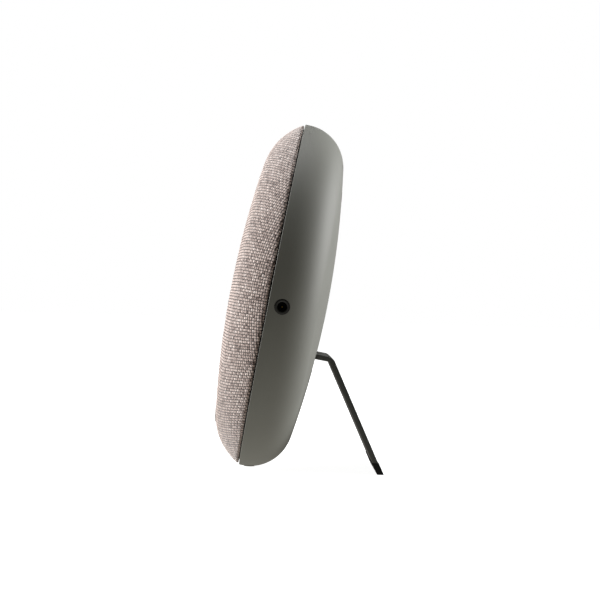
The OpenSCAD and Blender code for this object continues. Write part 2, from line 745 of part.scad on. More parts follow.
// Soft tubes from each microphone to the inside of the grille
module mic_gaskets() color([0.12, 0.12, 0.12]) placed() for (x = mic_places) difference() {
  intersection() {
    rod_y(2.6, -front_depth, front_depth + plate_front - mic_board_t - mic_t, x, mic_rise);
    grille_inside();
  }
  rod_y(0.8, -front_depth, front_depth, x, mic_rise);
}

// Leads

module speaker_leads() color([0.7, 0.12, 0.1]) placed() for (s = [-1, 1])
  rod_z(lead_r, tub_lead_x + s * lead_gap, lead_y, -driver_drop + tub_r - 5,
        lead_top + driver_drop - tub_r + 5);

// Up from the inlet's board, round a bend, and in over the main board
module power_leads() color([0.1, 0.1, 0.1]) placed() for (s = [0, 1]) {
  y = inlet_board_y + inlet_board_t + lead_r + 0.2;
  x = inlet_board_x + 6 + s * 2 * lead_gap;
  top = 20 + s * 2 * lead_gap;
  rod_z(lead_r, x, y, -inlet_drop, top + inlet_drop);
  translate([x - 4, y, top]) rotate([90, 0, 0]) rotate_extrude(angle = 90) translate([4, 0])
    circle(lead_r);
  translate([x - 4, y, top + 4]) rotate([0, -90, 0]) cylinder(r = lead_r, h = x - 4 - board_w / 2 - 2);
}

// ---- Inlet ----

// Draws about X with its top facing out of the rim
module at_inlet(x) translate([x, inlet_depth, -inlet_drop]) rotate([0, 90, 0]) children();

module inlet_bushing() color([0.13, 0.13, 0.13]) placed() difference() {
  intersection() {
    at_inlet(bushing_in_x) cylinder(d = inlet_ring_d, h = bushing_len + 4);
    rear_solid(0.15);
  }
  at_inlet(bushing_in_x - 1) cylinder(d = inlet_bore_d, h = bushing_len + 10);
}

module inlet_socket() color([0.08, 0.08, 0.08]) placed() difference() {
  translate([socket_in_x, inlet_depth - socket_w / 2, -inlet_drop - socket_w / 2])
    cube([socket_len, socket_w, socket_w]);
  at_inlet(bushing_in_x - 4) cylinder(d = inlet_bore_d + 2 * socket_step, h = 10);
  at_inlet(socket_in_x - 1) cylinder(d = inlet_pin_d, h = 20);
}

module inlet_pin() color([0.8, 0.75, 0.55]) placed()
  at_inlet(socket_in_x - 1.5) cylinder(d = inlet_pin_d, h = bushing_in_x - 0.5 - socket_in_x + 1.5);

module inlet_board() color([0.05, 0.2, 0.12]) placed() difference() {
  translate([inlet_board_x, inlet_board_y, -inlet_drop - inlet_board_h / 2])
    cube([inlet_board_w, inlet_board_t, inlet_board_h]);
  for (z = [-1, 1]) rod_y(0.9, 0, 20, inlet_board_x + inlet_post_r,
    -inlet_drop + z * (inlet_board_h / 2 - inlet_post_r));
}

// ---- Stand ----

// Draws about X, centred on the hinge pin
module at_pin(x) translate([x, pin_y, pin_z]) rotate([0, 90, 0]) children();

module hinge_bracket() color([0.6, 0.6, 0.62]) placed() difference() {
  union() {
    box_y(2 * bracket_half, bracket_t, 2 * bracket_post_dz + 8, 0, bracket_y, pin_z);
    for (s = [-1, 1]) {
      at_pin(s * (ear_x + ear_t / 2) - ear_t / 2) cylinder(r = ear_r, h = ear_t);
      box_y(ear_t, pin_y - bracket_y, 2 * ear_r, s * (ear_x + ear_t / 2), bracket_y, pin_z);
    }
  }
  at_pin(-bracket_half) cylinder(d = pin_d, h = 2 * bracket_half);
  for (x = [-1, 1], z = [-1, 1])
    rod_y(1.2, bracket_y - 1, 4, x * bracket_post_x, pin_z + z * bracket_post_dz);
}

module hinge_pin() color([0.7, 0.7, 0.72]) placed()
  at_pin(-ear_x - ear_t - 1.6) cylinder(d = pin_d, h = 2 * (ear_x + ear_t + 1.6));

module hinge_washers() color([0.78, 0.7, 0.5]) placed() for (s = [-1, 1])
  at_pin(s * (ear_x - washer_t / 2) - washer_t / 2) difference() {
    cylinder(r = ear_r - 0.2, h = washer_t);
    translate([0, 0, -1]) cylinder(d = pin_d, h = washer_t + 2);
  }

module hinge_clips() color([0.4, 0.4, 0.42]) placed() for (s = [-1, 1])
  at_pin(s * (ear_x + ear_t + 0.4) - 0.4) difference() {
    cylinder(r = ear_r - 0.2, h = 0.8);
    translate([0, 0, -1]) cylinder(d = pin_d, h = 3);
  }

module hinge_screws() color([0.5, 0.5, 0.52]) placed() for (x = [-1, 1], z = [-1, 1])
  screw_y(x * bracket_post_x, bracket_y, pin_z + z * bracket_post_dz, 4, 1.2, 1.8, 6);

module slot_bezel() color([0.2, 0.2, 0.19]) placed() intersection() {
  slab_y(pin_y, rear_depth) difference() {
    slot_outline(bezel_t);
    slot_outline(0);
  }
  difference() {
    rear_solid(0.1);
    rear_solid(shell_wall);
  }
}

// Length of the open leg, on a line set out from its middle, down to a height over the table
function leg_reach(out, height) = (leg_top_z + out * sin(leg_world) - height) / cos(leg_world);

// A point beside the leg's middle line, out behind it and down along it
function leg_point(out, down) = [leg_y + out * cos(leg_angle) + down * sin(leg_angle),
                                 leg_z + out * sin(leg_angle) - down * cos(leg_angle)];

// A piece of the leg between two heights over the table, as an outline in Y and Z
module leg_outline(t, low, high) polygon([
  leg_point(-t / 2, leg_reach(-t / 2, high)), leg_point(t / 2, leg_reach(t / 2, high)),
  leg_point(t / 2, leg_reach(t / 2, low)), leg_point(-t / 2, leg_reach(-t / 2, low))]);

// The bent strap from y along the arm, round the bend and down to the foot's rubber
module strap_outline(y) polygon(concat(
  [[y, pin_z - strap_t / 2], [y, pin_z + strap_t / 2]],
  [for (i = [0:bend_steps]) let (a = leg_turn * i / bend_steps)
    [bend_y + (bend_r + strap_t) * sin(a), bend_z + (bend_r + strap_t) * cos(a)]],
  [leg_point(strap_t / 2, leg_reach(strap_t / 2, foot_h)),
   leg_point(-strap_t / 2, leg_reach(-strap_t / 2, foot_h))],
  [for (i = [bend_steps:-1:0]) let (a = leg_turn * i / bend_steps)
    [bend_y + bend_r * sin(a), bend_z + bend_r * cos(a)]]));

// Gives an outline drawn in Y and Z a width, centred on the middle of the disc
module across(w) rotate([90, 0, 90]) translate([0, 0, -w / 2]) linear_extrude(w) children();

module stand_strap() color([0.25, 0.25, 0.24]) placed() difference() {
  union() {
    across(2 * eye_half) {
      translate([pin_y, pin_z]) circle(eye_r);
      translate([pin_y, pin_z - strap_t / 2]) square([arm_len - 1, strap_t]);
    }
    across(strap_w) strap_outline(pin_y + eye_r + move_gap);
    across(strap_w - tongue_in) leg_outline(tongue_t, foot_h / 3, foot_h + 4);
  }
  across(2 * strap_w) translate([pin_y, pin_z]) circle(pin_d / 2 + pin_clearance);
}

module stand_foot() color([0.07, 0.07, 0.07]) placed() difference() {
  across(strap_w + 2 * foot_lip) leg_outline(strap_t + 2 * foot_lip, 0, foot_h);
  across(strap_w - tongue_in) leg_outline(tongue_t, foot_h / 3, foot_h + 4);
}

// ---- Controls ----

// A button: cap flush with the rear dome, a flange inside the wall, and a stem to its switch
module button(place) translate([button_shift + place * button_pitch, 0, button_rise]) union() {
  rod_y(button_flange_d / 2, button_flange_top - button_flange_t, button_flange_t);
  rod_y(2, button_flange_top - button_flange_t - 1, 1 + eps);
  intersection() {
    rod_y(button_d / 2, button_flange_top - eps, rear_depth);
    translate([-button_shift - place * button_pitch, 0, -button_rise]) rear_solid(button_sink);
  }
}

module volume_down_button() color([0.42, 0.42, 0.4]) placed() button(-1);
module action_button() color([0.42, 0.42, 0.4]) placed() button(0);
module volume_up_button() color([0.42, 0.42, 0.4]) placed() button(1);

module mute_slider() color([0.75, 0.3, 0.2]) placed() union() {
  intersection() {
    box_y(slider_w, rear_depth, slider_h, slider_x, button_flange_top - eps, button_rise);
    rear_solid(button_sink);
  }
  box_y(slider_w + 2, button_flange_t, slider_h + 3, slider_x, button_flange_top - button_flange_t,
        button_rise);
  rod_y(1, button_flange_top - button_flange_t - 1, 1 + eps, slider_x, button_rise);
}

module button_board() color([0.05, 0.2, 0.12]) placed() difference() {
  union() {
    box_y(2 * button_post_x + 6, button_board_t, 12, 0, button_board_y, button_rise);
    for (i = [-1:1]) {
      box_y(6, switch_t - 0.5, 6, button_shift + i * button_pitch, button_board_back - eps, button_rise);
      rod_y(1.7, button_board_back, switch_t, button_shift + i * button_pitch, button_rise);
    }
    box_y(10, switch_t - 0.5, 4, slider_x + slider_travel / 2, button_board_back - eps, button_rise);
  }
  for (x = [-1, 1]) rod_y(0.9, 0, 40, x * button_post_x, button_rise);
}

rear_shell();
front_grille();
front_fabric();
seam_gasket();
badge();
mid_frame();
bottom_pad();
shell_screws();
grille_screws();
speaker_tub();
tub_seal();
driver_basket();
driver_magnet();
driver_yoke();
driver_top_plate();
driver_cone();
driver_voice_coil();
driver_dust_cap();
driver_surround();
driver_spider();
driver_terminals();
radiator_frame();
radiator_surround();
radiator_plate();
speaker_screws();
led_board();
led_lamps();
light_grid();
light_diffuser();
display_screws();
display_ribbon();
main_board();
board_chips();
shield_can();
thermal_pad();
heat_spreader();
board_screws();
wifi_antenna();
mic_board();
microphones();
mic_gaskets();
speaker_leads();
power_leads();
inlet_bushing();
inlet_socket();
inlet_pin();
inlet_board();
hinge_bracket();
hinge_pin();
hinge_washers();
hinge_clips();
hinge_screws();
slot_bezel();
stand_strap();
stand_foot();
volume_down_button();
action_button();
volume_up_button();
mute_slider();
button_board();
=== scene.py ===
"""Looks for a round smart display: a fabric-fronted disc that leans back on a bent strap.

The disc is drawn upright about its own axis, in millimetres, with y = 0 at the seam between
fabric and shell and +y towards the back, and in_disc() then leans it into its place.
"""
import json
import math

import bmesh
import bpy
import numpy as np
from mathutils import Matrix, Vector


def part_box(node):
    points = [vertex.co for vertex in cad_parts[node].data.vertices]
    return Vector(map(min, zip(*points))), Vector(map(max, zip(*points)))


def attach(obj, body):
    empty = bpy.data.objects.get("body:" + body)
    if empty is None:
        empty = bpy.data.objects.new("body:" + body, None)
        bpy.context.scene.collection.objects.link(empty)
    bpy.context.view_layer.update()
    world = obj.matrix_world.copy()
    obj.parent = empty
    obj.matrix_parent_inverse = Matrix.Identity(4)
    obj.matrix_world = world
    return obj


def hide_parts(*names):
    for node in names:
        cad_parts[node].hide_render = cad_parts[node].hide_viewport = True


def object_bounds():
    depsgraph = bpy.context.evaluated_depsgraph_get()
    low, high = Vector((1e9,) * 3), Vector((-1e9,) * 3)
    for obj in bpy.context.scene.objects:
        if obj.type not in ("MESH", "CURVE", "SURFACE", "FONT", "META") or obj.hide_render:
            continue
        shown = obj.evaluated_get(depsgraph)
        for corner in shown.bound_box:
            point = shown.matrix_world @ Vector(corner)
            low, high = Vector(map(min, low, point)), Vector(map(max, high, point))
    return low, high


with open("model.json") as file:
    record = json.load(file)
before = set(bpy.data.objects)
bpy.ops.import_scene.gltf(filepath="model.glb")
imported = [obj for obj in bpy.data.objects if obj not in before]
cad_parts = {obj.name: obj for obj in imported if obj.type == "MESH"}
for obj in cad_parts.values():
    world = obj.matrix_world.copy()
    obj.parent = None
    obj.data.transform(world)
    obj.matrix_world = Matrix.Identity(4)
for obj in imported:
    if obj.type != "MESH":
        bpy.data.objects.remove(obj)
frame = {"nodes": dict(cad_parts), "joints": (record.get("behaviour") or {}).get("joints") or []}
cad_low, cad_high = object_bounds()

MM = 0.001

# ---- Sizes, in millimetres, the same as the CAD model's ----
SHELL_R = (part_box("rear_shell")[1].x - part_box("rear_shell")[0].x) / 2 / MM
REAR_DEPTH, REAR_CORNER_R, RIM_BAND, SHELL_WALL = 33.0, 24.6, 2.2, 2.5
FRONT_DEPTH, FRONT_CORNER_R, FRONT_CORNER_DROP = 24.4, 32.2, 13.2
FABRIC_STEP, SEAM_GAP = 0.8, 0.7
EDGE_R = SHELL_R - FABRIC_STEP
PIN_Y, PIN_Z, PIN_D, EYE_D, PIN_CLEARANCE = 25.0, -30.35, 4.0, 7.0, 0.05
ARM_LEN, BEND_R, STRAP_T, LEG_ANGLE = 13.3, 2.5, 3.0, 34.2
FOOT_H, FOOT_LIP, TONGUE_T, TONGUE_IN = 6.6, 0.3, 1.4, 4.0
STRAP_W = (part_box("stand_strap")[1].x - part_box("stand_strap")[0].x) / MM
EYE_W = STRAP_W - 1.6
SLOT_CLEAR, BEZEL_T, SLOT_R = 0.5, 1.2, 1.2
POST_X, POST_Z, POST_R, POST_FRONT = 28.0, SHELL_R - 24, 4.0, 10.0
SHELL_HEAD_D, SHELL_SCREW_D = 5.0, 2.5
BUTTON_D, BUTTON_PITCH, BUTTON_RISE, BUTTON_SINK, MOVE_GAP = 9.0, 18.0, 62.0, 0.2, 0.35
SLIDER_W, SLIDER_H, SLIDER_TRAVEL = 7.0, 4.2, 3.0
INLET_DEPTH, INLET_DROP, INLET_BORE_D, INLET_RING_D = 7.25, 6.25, 4.9, 7.9
BADGE_W, BADGE_H, BADGE_DROP, BADGE_T = 32.0, 9.0, 75.0, 0.6
PAD_W, PAD_Y, PAD_HALF, PAD_SINK, PAD_PROUD = 6.0, 3.0, 22.0, 0.8, 0.25

# ---- Place of the disc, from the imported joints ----
JOINTS = {joint["name"]: joint for joint in frame["joints"]}
BACK = Vector(JOINTS["cone_stroke"]["axis"]).normalized()
UP = Vector((0, -BACK.z, BACK.y))
PIN = Vector(JOINTS["stand_hinge"]["pos_m"])
CENTRE = PIN - BACK * PIN_Y * MM - UP * PIN_Z * MM
LEAN = math.atan2(-BACK.z, BACK.y)
DISC = Matrix.Translation(CENTRE) @ Matrix.Rotation(-LEAN, 4, "X") @ Matrix.Scale(MM, 4)


def in_disc(points):
    """Points drawn in the disc's upright frame, in millimetres, put in their place in metres."""
    turn = np.array(DISC)
    return np.asarray(points, float) @ turn[:3, :3].T + turn[:3, 3]


# ---- Outlines ----
def cap_radius(cx, cd, r, depth):
    """Radius of the shallow cap that runs on from a corner arc with centre (cx, cd)."""
    return (cx * cx + (depth - cd) ** 2 - r * r) / (2 * (depth - cd - r))


def dome(cx, cd, r, cap_r, depth, inset, base, steps):
    """A dome's outline from its middle out to the plane at base, as rows of radius and depth."""
    cap_y = depth - cap_r
    turn = math.atan2(cx, cd - cap_y)
    end = math.acos((base - cd) / (r - inset)) if base > cd else math.pi / 2
    cap = [(cap_r - inset) * np.array((math.sin(a), math.cos(a))) + (0, cap_y)
           for a in np.linspace(0, turn, steps, endpoint=False)]
    corner = [(r - inset) * np.array((math.sin(a), math.cos(a))) + (cx, cd)
              for a in np.linspace(turn, end, steps)]
    band = [(cx + r - inset, base)] if base < cd else []
    return np.array(cap + corner + band)


REAR_X = SHELL_R - REAR_CORNER_R
REAR_CAP_R = cap_radius(REAR_X, RIM_BAND, REAR_CORNER_R, REAR_DEPTH)
FRONT_X = EDGE_R - math.sqrt(FRONT_CORNER_R ** 2 - FRONT_CORNER_DROP ** 2)
FRONT_CAP_R = cap_radius(FRONT_X, -FRONT_CORNER_DROP, FRONT_CORNER_R, FRONT_DEPTH)


def rear_dome(inset=0.0, base=0.0, steps=40):
    return dome(REAR_X, RIM_BAND, REAR_CORNER_R, REAR_CAP_R, REAR_DEPTH, inset, base, steps)


def front_dome(inset=0.0, base=SEAM_GAP, steps=40):
    """The fabric's outline, with depth counted forward of the seam."""
    return dome(FRONT_X, -FRONT_CORNER_DROP, FRONT_CORNER_R, FRONT_CAP_R, FRONT_DEPTH,
                inset, base, steps)


def depth_at(outline, radius):
    """How far a dome's outline stands from the seam at a radius."""
    return np.interp(radius, outline[:, 0], outline[:, 1])


def arc(centre, r, start, end, steps):
    """Points round a centre, with angles in degrees."""
    angles = np.radians(np.linspace(start, end, steps))
    return np.c_[centre[0] + r * np.cos(angles), centre[1] + r * np.sin(angles)]


def round_rect(w, h, r, steps=8):
    """A rectangle with round corners, anticlockwise."""
    corners = [(w / 2 - r, h / 2 - r, 0), (r - w / 2, h / 2 - r, 90),
               (r - w / 2, r - h / 2, 180), (w / 2 - r, r - h / 2, 270)]
    return np.concatenate([arc((x, y), r, a, a + 90, steps) for x, y, a in corners])


# ---- Meshes ----
def loft(rings, closed_ends=True, around=True):
    """Faces between equal rings of points; a ring of one point is a pole."""
    points, faces, starts = [], [], []
    for ring in rings:
        starts.append(len(points))
        points.extend(ring)
    for k in range(len(rings) - 1):
        a, b, na, nb = starts[k], starts[k + 1], len(rings[k]), len(rings[k + 1])
        n = max(na, nb)
        for i in range(n if around else n - 1):
            j = (i + 1) % n
            if na == 1:
                faces.append((a, b + i, b + j))
            elif nb == 1:
                faces.append((a + i, b, a + j))
            else:
                faces.append((a + i, b + i, b + j, a + j))
    if closed_ends:
        for start, ring in ((starts[0], rings[0]), (starts[-1], rings[-1])):
            if len(ring) > 2:
                faces.append(tuple(range(start, start + len(ring))))
    return np.array(points, float), faces


def lathe(outline, steps):
    """Turns rows of radius and y about the Y axis, from the axis back to it or as a loop."""
    angles = np.linspace(0, 2 * math.pi, steps, endpoint=False)
    rings = [[(0, y, 0)] if r < 1e-6
             else np.c_[r * np.sin(angles), np.full(steps, y), r * np.cos(angles)]
             for r, y in outline]
    if len(rings[0]) > 1:
        rings.append(rings[0])
    return loft(rings, closed_ends=False)


def prism(outline, low, high, axis):
    """A flat outline given length along axis (0 is X, 1 is Y) from low to high."""
    def at(value):
        flat = np.asarray(outline, float)
        return np.insert(flat, axis, value, axis=1)
    return loft([at(low), at(high)])


def raw_mesh(name, points, faces):
    mesh = bpy.data.meshes.new(name)
    mesh.from_pydata([tuple(p) for p in points], [], [tuple(int(i) for i in f) for f in faces])
    return mesh


def new_object(name, data):
    """An object in the scene that holds a mesh, a light or a camera."""
    made = bpy.data.objects.new(name, data)
    bpy.context.scene.collection.objects.link(made)
    return made


def apply_modifiers(piece):
    """Swaps a piece's mesh for the one that its modifiers make."""
    seen = piece.evaluated_get(bpy.context.evaluated_depsgraph_get())
    made = bpy.data.meshes.new_from_object(seen)
    piece.modifiers.clear()
    piece.data = made


def tidy(mesh, bevel=0.0, sharp=35.0):
    """Merges doubles, turns faces outwards, rounds the sharp edges and smooths the rest."""
    work = bmesh.new()
    work.from_mesh(mesh)
    bmesh.ops.remove_doubles(work, verts=work.verts, dist=2e-6)
    bmesh.ops.recalc_face_normals(work, faces=work.faces)
    if bevel:
        edges = [e for e in work.edges
                 if len(e.link_faces) == 2 and e.calc_face_angle(0) > math.radians(sharp)]
        bmesh.ops.bevel(work, geom=edges, offset=bevel * MM, segments=4, profile=0.5,
                        affect="EDGES", clamp_overlap=True)
    work.to_mesh(mesh)
    work.free()
    mesh.shade_smooth()
    mesh.set_sharp_from_angle(angle=math.radians(sharp))
    return mesh


def solid(name, parts):
    """An object of one or more closed shapes, each points in the disc's frame and faces."""
    points, faces, start = [], [], 0
    for p, f in parts:
        points.append(in_disc(p))
        faces += [tuple(i + start for i in face) for face in f]
        start += len(p)
    piece = new_object(name, raw_mesh(name, np.concatenate(points), faces))
    tidy(piece.data)
    return piece


def carve(piece, tool, operation):
    """Joins or cuts a piece with a tool object, which is then gone."""
    step = piece.modifiers.new(operation, "BOOLEAN")
    step.object, step.operation, step.solver = tool, operation, "EXACT"
    apply_modifiers(piece)
    bpy.data.objects.remove(tool)
    return piece


def finished(piece, body, replaced, slot, sharp=35.0):
    """Cleans a piece, gives it its slot's finish and puts it on its body in place of CAD nodes."""
    tidy(piece.data, sharp=sharp)
    piece.data.materials.clear()
    piece.data.materials.append(FINISH[slot])
    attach(piece, body)
    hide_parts(*replaced)
    return piece


# ---- Materials ----
def colour(code):
    """An sRGB hex colour as linear RGBA."""
    parts = [int(code[i:i + 2], 16) / 255 for i in (1, 3, 5)]
    return tuple(c / 12.92 if c <= 0.04045 else ((c + 0.055) / 1.055) ** 2.4 for c in parts) + (1,)


def add(tree, kind, settings=None, inputs=None):
    """Adds a node. The setting "stops" fills a colour ramp with places and hex colours. Inputs are
    values, nodes to link by their first output, or (node, output) pairs."""
    made = tree.nodes.new(kind)
    for key, value in (settings or {}).items():
        if key == "stops":
            while len(made.color_ramp.elements) < len(value):
                made.color_ramp.elements.new(0.5)
            for element, (place, code) in zip(made.color_ramp.elements, value):
                element.position, element.color = place, colour(code)
        else:
            setattr(made, key, value)
    for key, value in (inputs or {}).items():
        source = (value, 0) if isinstance(value, bpy.types.Node) else value
        if isinstance(source, tuple) and isinstance(source[0], bpy.types.Node):
            tree.links.new(source[0].outputs[source[1]], made.inputs[key])
        else:
            made.inputs[key].default_value = value
    return made


def blank(name, **shader):
    """A material with its surface shader, whose even values are set on the shader itself."""
    material = bpy.data.materials.new(name)
    material.use_nodes = True
    tree = material.node_tree
    surface = next(n for n in tree.nodes if n.type == "BSDF_PRINCIPLED")
    for key, value in shader.items():
        surface.inputs[key.replace("_", " ")].default_value = value
    return material, tree, surface


def surface_grain(name, dark, light, rough, grain_mm, depth_mm, cloud_mm=22.0, rough_swing=0.05,
                  **shader):
    """A surface with a fine grain of grain_mm across, clouded in colour and gloss over cloud_mm."""
    material, tree, surface = blank(name, **shader)
    place = add(tree, "ShaderNodeTexCoord")
    clouds = add(tree, "ShaderNodeTexNoise", None, {
        "Vector": (place, "Object"), "Scale": 1 / (cloud_mm * MM), "Detail": 3.0,
        "Roughness": 0.55})
    tint = add(tree, "ShaderNodeValToRGB", {"stops": [(0.3, dark), (0.7, light)]}, {"Fac": clouds})
    tree.links.new(tint.outputs["Color"], surface.inputs["Base Color"])
    gloss = add(tree, "ShaderNodeMapRange", None, {
        "Value": clouds, "To Min": rough - rough_swing, "To Max": rough + rough_swing})
    tree.links.new(gloss.outputs["Result"], surface.inputs["Roughness"])
    grain = add(tree, "ShaderNodeTexNoise", None, {
        "Vector": (place, "Object"), "Scale": 1 / (grain_mm * MM), "Detail": 2.0})
    relief = add(tree, "ShaderNodeBump", None, {
        "Height": grain, "Distance": depth_mm * MM, "Strength": 1.0})
    tree.links.new(relief.outputs["Normal"], surface.inputs["Normal"])
    return material


def satin_shell_paint():
    """Satin paint on moulded ABS: a warm grey with a soft, faintly pebbled gloss."""
    return surface_grain("satin_paint_on_abs", "#878882", "#8a8b85", 0.56, 0.9, 0.004,
                         rough_swing=0.03, IOR=1.5, Specular_IOR_Level=0.25)


THREAD_MM = 1.6  # from one thread to the next, laid flat


def woven_melange():
    """Coarse plain-woven wool and polyester in heathered rose grey, matt, with a soft nap. Warp and
    weft are near in tone, so each crossing shows as a light lobe, and the pits round it are darkened
    by shade painted into the colour."""
    material, tree, surface = blank("woven_melange_wool", Roughness=0.92, Sheen_Weight=0.6,
                                    Sheen_Roughness=0.5, Specular_IOR_Level=0.2)
    cloth = add(tree, "ShaderNodeUVMap", {"uv_map": "cloth"})
    split = add(tree, "ShaderNodeSeparateXYZ", None, {"Vector": cloth})
    column = add(tree, "ShaderNodeMath", {"operation": "ROUND"}, {0: (split, "X")})
    row = add(tree, "ShaderNodeMath", {"operation": "ROUND"}, {0: (split, "Y")})
    # 0 where the warp passes over and 1 where the weft does
    crossing = add(tree, "ShaderNodeMath", {"operation": "ADD"}, {0: column, 1: row})
    over = add(tree, "ShaderNodeMath", {"operation": "PINGPONG"}, {0: crossing, 1: 1.0})
    # a yarn's value holds over a few millimetres of its own thread
    warp_spot = add(tree, "ShaderNodeCombineXYZ", None, {"X": column, "Y": (split, "Y"), "Z": 4.0})
    weft_spot = add(tree, "ShaderNodeCombineXYZ", None, {"X": (split, "X"), "Y": row, "Z": 19.5})
    warp_run = add(tree, "ShaderNodeVectorMath", {"operation": "MULTIPLY"},
                   {0: warp_spot, 1: (3.71, 0.5, 1)})
    weft_run = add(tree, "ShaderNodeVectorMath", {"operation": "MULTIPLY"},
                   {0: weft_spot, 1: (0.5, 3.71, 1)})
    warp = add(tree, "ShaderNodeTexNoise", None, {"Vector": warp_run, "Scale": 1.0, "Detail": 2.0})
    weft = add(tree, "ShaderNodeTexNoise", None, {"Vector": weft_run, "Scale": 1.0, "Detail": 2.0})
    warp_tint = add(tree, "ShaderNodeValToRGB", {"stops": [
        (0.30, "#6d5750"), (0.43, "#b39d95"), (0.56, "#d9c4bb"), (0.70, "#f2e0d8")]}, {"Fac": warp})
    weft_tint = add(tree, "ShaderNodeValToRGB", {"stops": [
        (0.30, "#7f6860"), (0.43, "#cbb4ab"), (0.56, "#ecd7ce"), (0.70, "#fff0e9")]}, {"Fac": weft})
    yarn = add(tree, "ShaderNodeMix", {"data_type": "RGBA"}, {0: over, 6: warp_tint, 7: weft_tint})
    # painted shade: the pits between four threads are darkened in the base colour, down to 6 per cent
    # of the yarn's tone
    off_column = add(tree, "ShaderNodeMath", {"operation": "PINGPONG"}, {0: (split, "X"), 1: 0.5})
    off_row = add(tree, "ShaderNodeMath", {"operation": "PINGPONG"}, {0: (split, "Y"), 1: 0.5})
    pit = add(tree, "ShaderNodeMath", {"operation": "MAXIMUM"}, {0: off_column, 1: off_row})
    shade = add(tree, "ShaderNodeMapRange", None, {
        "Value": pit, "From Min": 0.22, "From Max": 0.46, "To Min": 1.0, "To Max": 0.06})
    # the yarn's colour times the painted pit shade goes to the surface's base colour
    painted_shade_colour = add(tree, "ShaderNodeMix", {"data_type": "RGBA", "blend_type": "MULTIPLY"},
               {0: 1.0, 6: (yarn, 2), 7: shade})
    tree.links.new(painted_shade_colour.outputs[2], surface.inputs["Base Color"])
    # round threads, with fibres along them
    side = add(tree, "ShaderNodeMix", {"data_type": "FLOAT"}, {0: over, 2: off_column, 3: off_row})
    round_off = add(tree, "ShaderNodeMath", {"operation": "POWER"}, {0: side, 1: 2.0})
    fibre = add(tree, "ShaderNodeTexNoise", None, {"Vector": cloth, "Scale": 5.5, "Detail": 3.0})
    height = add(tree, "ShaderNodeMath", {"operation": "MULTIPLY_ADD"},
                 {0: round_off, 1: -4.0, 2: fibre})
    relief = add(tree, "ShaderNodeBump", None, {
        "Height": height, "Distance": 0.22 * MM, "Strength": 0.8})
    tree.links.new(relief.outputs["Normal"], surface.inputs["Normal"])
    return material


def moulded(name, dark, light, rough=0.5, grain_mm=0.5, depth_mm=0.01, **shader):
    """Injection-moulded ABS or nylon from a spark-eroded tool: even colour, fine matt grain."""
    return surface_grain(name, dark, light, rough, grain_mm, depth_mm, **shader)


def powder_coated_steel():
    """Powder-coated spring steel strip: dark warm grey, a fine orange peel, half matt."""
    return surface_grain("powder_coated_steel", "#525350", "#585956", 0.36, 0.5, 0.006,
                         rough_swing=0.03, Specular_IOR_Level=0.5)


def moulded_rubber():
    """Moulded silicone rubber: near black, matt, with a dusty bloom."""
    return surface_grain("moulded_rubber", "#1b1b1b", "#232323", 0.72, 0.35, 0.012,
                         Specular_IOR_Level=0.3)


def brushed(name, dark, light, rough, line_mm=0.08, stretch=(1.0, 1.0, 40.0)):
    """Bright sheet or turned metal with fine lines from its finishing."""
    material, tree, surface = blank(name, Metallic=1.0)
    place = add(tree, "ShaderNodeTexCoord")
    along = add(tree, "ShaderNodeMapping", None, {
        "Vector": (place, "Object"), "Scale": [1 / (line_mm * MM * s) for s in stretch]})
    lines = add(tree, "ShaderNodeTexNoise", None, {"Vector": along, "Scale": 1.0, "Detail": 2.0})
    tint = add(tree, "ShaderNodeValToRGB", {"stops": [(0.3, dark), (0.7, light)]}, {"Fac": lines})
    tree.links.new(tint.outputs["Color"], surface.inputs["Base Color"])
    gloss = add(tree, "ShaderNodeMapRange", None, {
        "Value": lines, "To Min": rough - 0.07, "To Max": rough + 0.07})
    tree.links.new(gloss.outputs["Result"], surface.inputs["Roughness"])
    relief = add(tree, "ShaderNodeBump", None, {"Height": lines, "Distance": 0.003 * MM})
    tree.links.new(relief.outputs["Normal"], surface.inputs["Normal"])
    return material


def solder_mask():
    """Glass-epoxy board under green solder mask, with copper tracks that show as lighter lines."""
    material, tree, surface = blank("solder_mask_on_glass_epoxy", Roughness=0.32, Coat_Weight=0.3)
    place = add(tree, "ShaderNodeTexCoord")
    tracks = add(tree, "ShaderNodeTexBrick", {"offset": 0.5}, {
        "Vector": (place, "Object"), "Scale": 1 / (3.0 * MM), "Color1": colour("#0c3d26"),
        "Color2": colour("#0e4a2d"), "Mortar": colour("#2a7a4c"), "Mortar Size": 0.04,
        "Brick Width": 1.3, "Row Height": 0.42})
    tree.links.new(tracks.outputs["Color"], surface.inputs["Base Color"])
    relief = add(tree, "ShaderNodeBump", None, {"Height": (tracks, "Fac"), "Distance": 0.03 * MM})
    tree.links.new(relief.outputs["Normal"], surface.inputs["Normal"])
    return material


def woven_sleeve(name, warp, weft, pitch_mm):
    """Resin-stiffened cloth: a plain weave of pitch_mm."""
    material, tree, surface = blank(name, Roughness=0.85)
    place = add(tree, "ShaderNodeTexCoord")
    weave = add(tree, "ShaderNodeTexChecker", None, {
        "Vector": (place, "Object"), "Scale": 1 / (pitch_mm * MM), "Color1": colour(warp),
        "Color2": colour(weft)})
    tree.links.new(weave.outputs["Color"], surface.inputs["Base Color"])
    relief = add(tree, "ShaderNodeBump", None, {"Height": (weave, "Fac"), "Distance": 0.05 * MM})
    tree.links.new(relief.outputs["Normal"], surface.inputs["Normal"])
    return material


